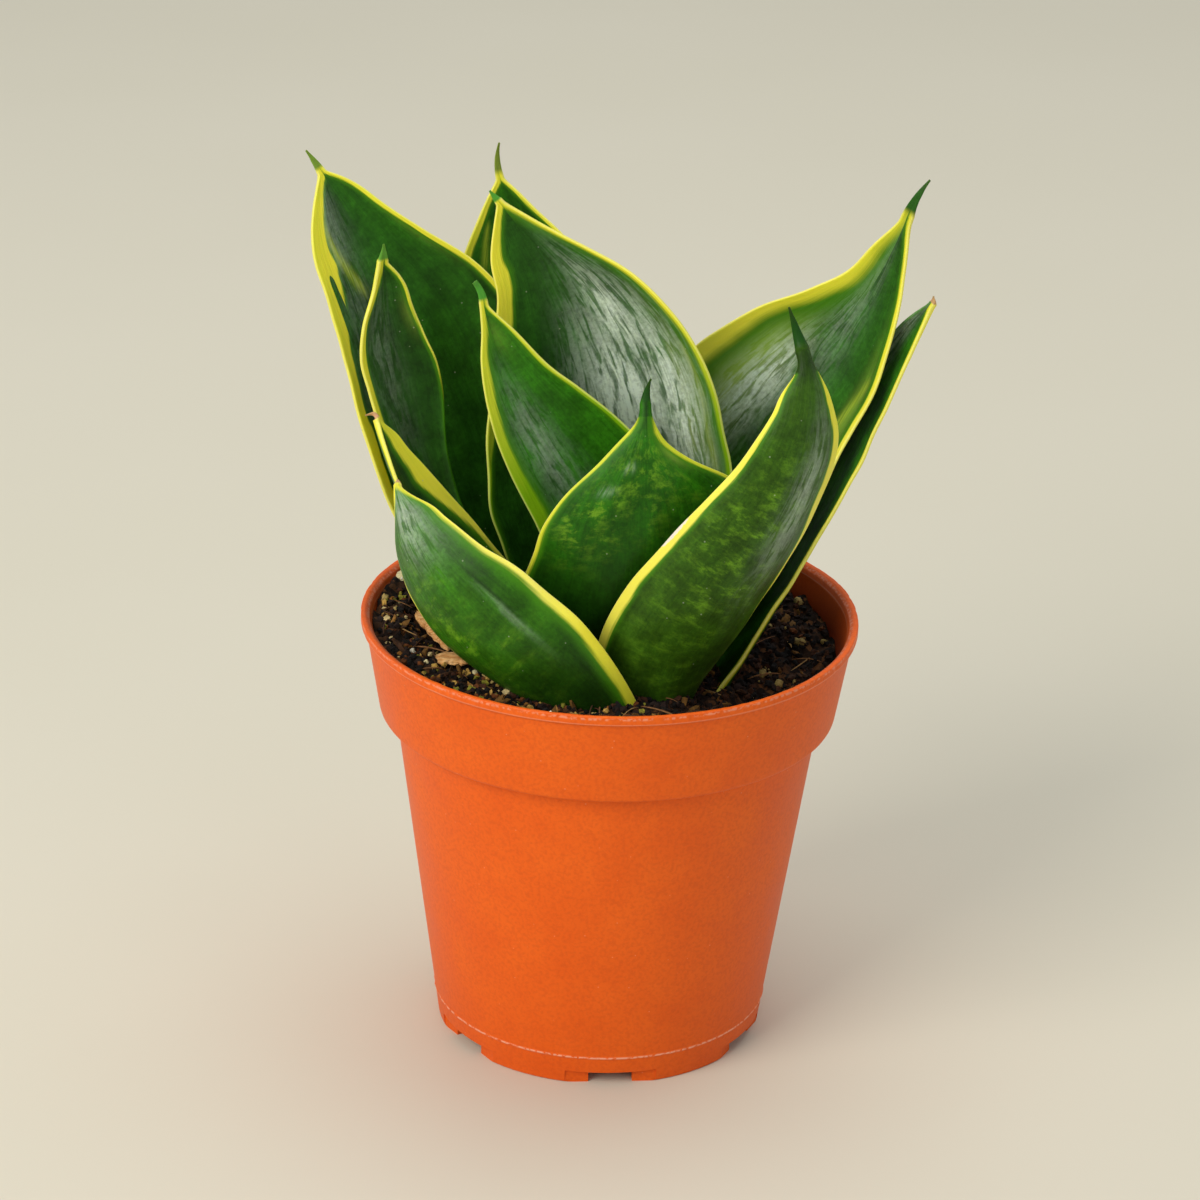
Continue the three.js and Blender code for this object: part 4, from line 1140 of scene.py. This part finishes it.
def make_grains(name, x, y, sizes, lift, subdivisions, material, random):
    """Angular grains: one small round solid, copied, stretched, dented at random and turned any way."""
    template, faces = ball(subdivisions)
    count = len(x)
    dents = 1 + random.uniform(-0.4, 0.3, (count, len(template), 1))
    body = template[None] * dents * sizes[:, None]
    body = np.einsum("nij,nkj->nki", turns(count, random), body)
    centre = np.stack([x, y, soil_height(x, y) + lift], -1)
    points = body + centre[:, None]
    corners = faces[None] + (np.arange(count) * len(template))[:, None, None]
    # Painted shade: on the right, round the hollow, the grains keep to the darker part of their tones.
    paleness = np.where(x > RIGHT_SHADE["from_x"], RIGHT_SHADE["paleness"], 1)
    tone = np.repeat(random.uniform(0, 1, count) * paleness, len(template))
    smooth = subdivisions > 1
    piece = mesh_piece(name, points, corners.reshape(-1, 3).tolist(), material, smooth, {"tone": tone})
    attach(piece, "root")


FIBRE_SIDES = 4


def make_fibres(count, material, random):
    """Peat fibres: four-sided tubes along bowed paths that lie on the mix."""
    x, y = scatter(random, count, 2.2)
    count = len(x)
    length = random.uniform(3, 11, count)
    heading = random.uniform(0, 2 * np.pi, count)
    bow = random.uniform(-0.35, 0.35, count)
    run = np.linspace(-0.5, 0.5, 9)
    a = run[None] * length[:, None]
    b = bow[:, None] * length[:, None] * (0.25 - run[None] ** 2)
    px = x[:, None] + a * np.cos(heading)[:, None] - b * np.sin(heading)[:, None]
    py = y[:, None] + a * np.sin(heading)[:, None] + b * np.cos(heading)[:, None]
    px, py = kept_inside(px, py, 1.2)
    arch = random.uniform(0.1, 0.9, count)[:, None] * (1 - (2 * run[None]) ** 2)
    pz = soil_height(px, py).mean(1, keepdims=True) + 0.5 + arch
    thick = random.uniform(0.1, 0.26, count)[:, None] * (1.05 - (2 * np.abs(run[None])) ** 3)
    turn = circle(FIBRE_SIDES)
    side = -np.sin(heading)[:, None, None], np.cos(heading)[:, None, None]
    wide = thick[..., None] * np.cos(turn)
    tall = thick[..., None] * np.sin(turn)
    px, py, pz = px[..., None], py[..., None], pz[..., None]
    points = np.stack([px + wide * side[0], py + wide * side[1], pz + tall], -1)
    end = np.arange(FIBRE_SIDES)
    size = len(run) * FIBRE_SIDES
    tube = np.vstack([loop_faces(len(run), FIBRE_SIDES), end[::-1], end + size - FIBRE_SIDES])
    corners = tube[None] + (np.arange(count) * size)[:, None, None]
    tone = np.repeat(random.uniform(0, 1, count), size)
    piece = mesh_piece("peat_fibres", points, corners.reshape(-1, 4).tolist(), material, True, {"tone": tone})
    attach(piece, "root")


# What lies on the mix: how many of each are thrown, and their colours, each from its share of them on.
THROWN = dict(crumbs=6500, chips=260, perlite=120, fibres=200)
TONES = {
    "peat_crumbs": [
        (0.0, "#0d0805"), (0.35, "#20110a"), (0.55, "#3e200c"), (0.7, "#643612"), (0.8, "#8a5a1e"),
        (0.87, "#858028"), (0.92, "#b89246"), (0.965, "#d6bf86"),
    ],
    "bark_fines": [(0.0, "#3a220d"), (0.35, "#674616"), (0.65, "#94682e"), (0.85, "#bd9156")],
    "perlite": [(0.0, "#8f7a42"), (0.4, "#b39b5c"), (0.7, "#d9cd9c"), (0.9, "#e4dcc6")],
    "peat_fibre": [(0.0, "#4a2f1a"), (0.5, "#7d5632"), (0.85, "#a88450")],
}


def tone_material(name, roughness, grain):
    """A matt material whose grains take one of a row of colours, with a finer mottle inside each grain."""
    material, tree, place = new_material(name, Roughness=roughness, Specular_IOR_Level=0.3)
    tone = add(tree, ATTRIBUTE, out="Fac", attribute_name="tone")
    colour = set_tones(add(tree, RAMP, (tone,)), TONES[name], "CONSTANT")
    mottle = add(tree, NOISE, {"Vector": place, "Scale": grain, "Detail": 3.0})
    mottle = add(tree, RANGE, (mottle, 0.3, 0.7, 0.55, 1.25))
    colour = layered(tree, colour, (1.0, mottle), blend_type="MULTIPLY")
    bump = add(tree, BUMP, {"Height": mottle, "Distance": 0.00015, "Strength": 0.6})
    return plug(material, Base_Color=colour, Normal=bump)


def peat_mix():
    """Peat and composted bark, loose. It gives the eye a nearly black brown, matt, with rusty crumbs."""
    material, tree, place = new_material("peat_mix", Roughness=0.95, Specular_IOR_Level=0.2)
    crumbs = add(tree, CELLS, {"Vector": place, "Scale": 700.0}, out="Color", feature="F1")
    pick = add(tree, SEPARATE, (crumbs,))
    tones = [(0.0, "#120b07"), (0.45, "#24160d"), (0.8, "#3a2414"), (0.93, "#5c3a1e")]
    colour = set_tones(add(tree, RAMP, (pick,)), tones)
    grit = add(tree, NOISE, {"Vector": place, "Scale": 1500.0, "Detail": 4.0})
    bump = add(tree, BUMP, {"Height": grit, "Distance": 0.0004, "Strength": 0.8})
    return plug(material, Base_Color=colour, Normal=bump)


LITTER_SEED = 21
CHIP_SHAPE = (1.5, 0.7, 0.4)  # a chip's length, breadth and thickness, as shares of its size
# Where the larger perlite grains lie that the front shows: x and y.
PERLITE_PLACES = [
    (-51.5, 7.5), (-47, 3.5), (-23, -26), (-51, 21), (-42, -16), (-26, -24.5), (-28.5, -23),
    (42, 24), (49.5, 11), (31, 8), (33.5, -4), (37, -5.6), (37, 32), (42, 9),
]


def make_litter():
    """What lies on the mix: its crumbs, chips of bark, perlite and fibres, all thrown from one seed."""
    random = np.random.default_rng(LITTER_SEED)
    x, y = scatter(random, THROWN["crumbs"])
    sizes = random.uniform(0.25, 1.05, (len(x), 1)) ** 1.4 * random.uniform(0.6, 1.3, (len(x), 3))
    crumbs = tone_material("peat_crumbs", 0.9, 1800.0)
    make_grains("peat_crumbs", x, y, sizes, 0.15, 1, crumbs, random)

    x, y = scatter(random, THROWN["chips"], 3.0)
    sizes = random.uniform(0.5, 1.6, (len(x), 1)) * CHIP_SHAPE
    chips = tone_material("bark_fines", 0.85, 1500.0)
    make_grains("bark_fines", x, y, sizes, 0.4, 1, chips, random)

    extra_x, extra_y = scatter(random, THROWN["perlite"])
    seen_x, seen_y = kept_inside(*np.array(PERLITE_PLACES, float).T, 1.7)
    x, y = np.append(seen_x, extra_x), np.append(seen_y, extra_y)
    size = np.append(random.uniform(0.65, 1.1, len(seen_x)), random.uniform(0.25, 0.6, len(extra_x)))
    sizes = size[:, None] * random.uniform(0.6, 1.3, (len(size), 3))
    perlite = tone_material("perlite", 0.8, 1200.0)
    make_grains("perlite_grains", x, y, sizes, 0.3, 2, perlite, random)

    make_fibres(THROWN["fibres"], tone_material("peat_fibre", 0.85, 900.0), random)


# ---- Stage -------------------------------------------------------------------------------------------


def make_floor():
    """A pale painted board under the pot. It gives the eye an even, matt warm grey."""
    material, tree, place = new_material("painted_board", Roughness=0.8, Specular_IOR_Level=0.1)
    cloud = add(tree, NOISE, {"Vector": place, "Scale": 6.0, "Detail": 2.0})
    plug(material, Base_Color=layered(tree, FLOOR_COLOUR, (cloud, FLOOR_CLOUDS)))
    reach = FLOOR_REACH / MM
    points = np.array([(-reach, -reach, 0), (reach, -reach, 0), (reach, reach, 0), (-reach, reach, 0)], float)
    mesh_piece("floor", points, [(0, 1, 2, 3)], material, False)


make_camera()
make_lights()
make_floor()
make_pot()
make_soil(peat_mix())
make_litter()
leaf_skin = waxy_leaf_skin()
for number, (leaf_name, leaf_shape) in enumerate(LEAVES.items()):
    make_leaf(leaf_name, USUAL | leaf_shape, leaf_skin, number + 1)
bark_material = torn_bark()
for number, (bark_name, bark_shape) in enumerate(BARK.items()):
    make_bark(bark_name, bark_shape, bark_material, 60 + 5 * number)
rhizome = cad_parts["rhizome"]
rhizome.data.materials.clear()
rhizome.data.materials.append(rhizome_skin())
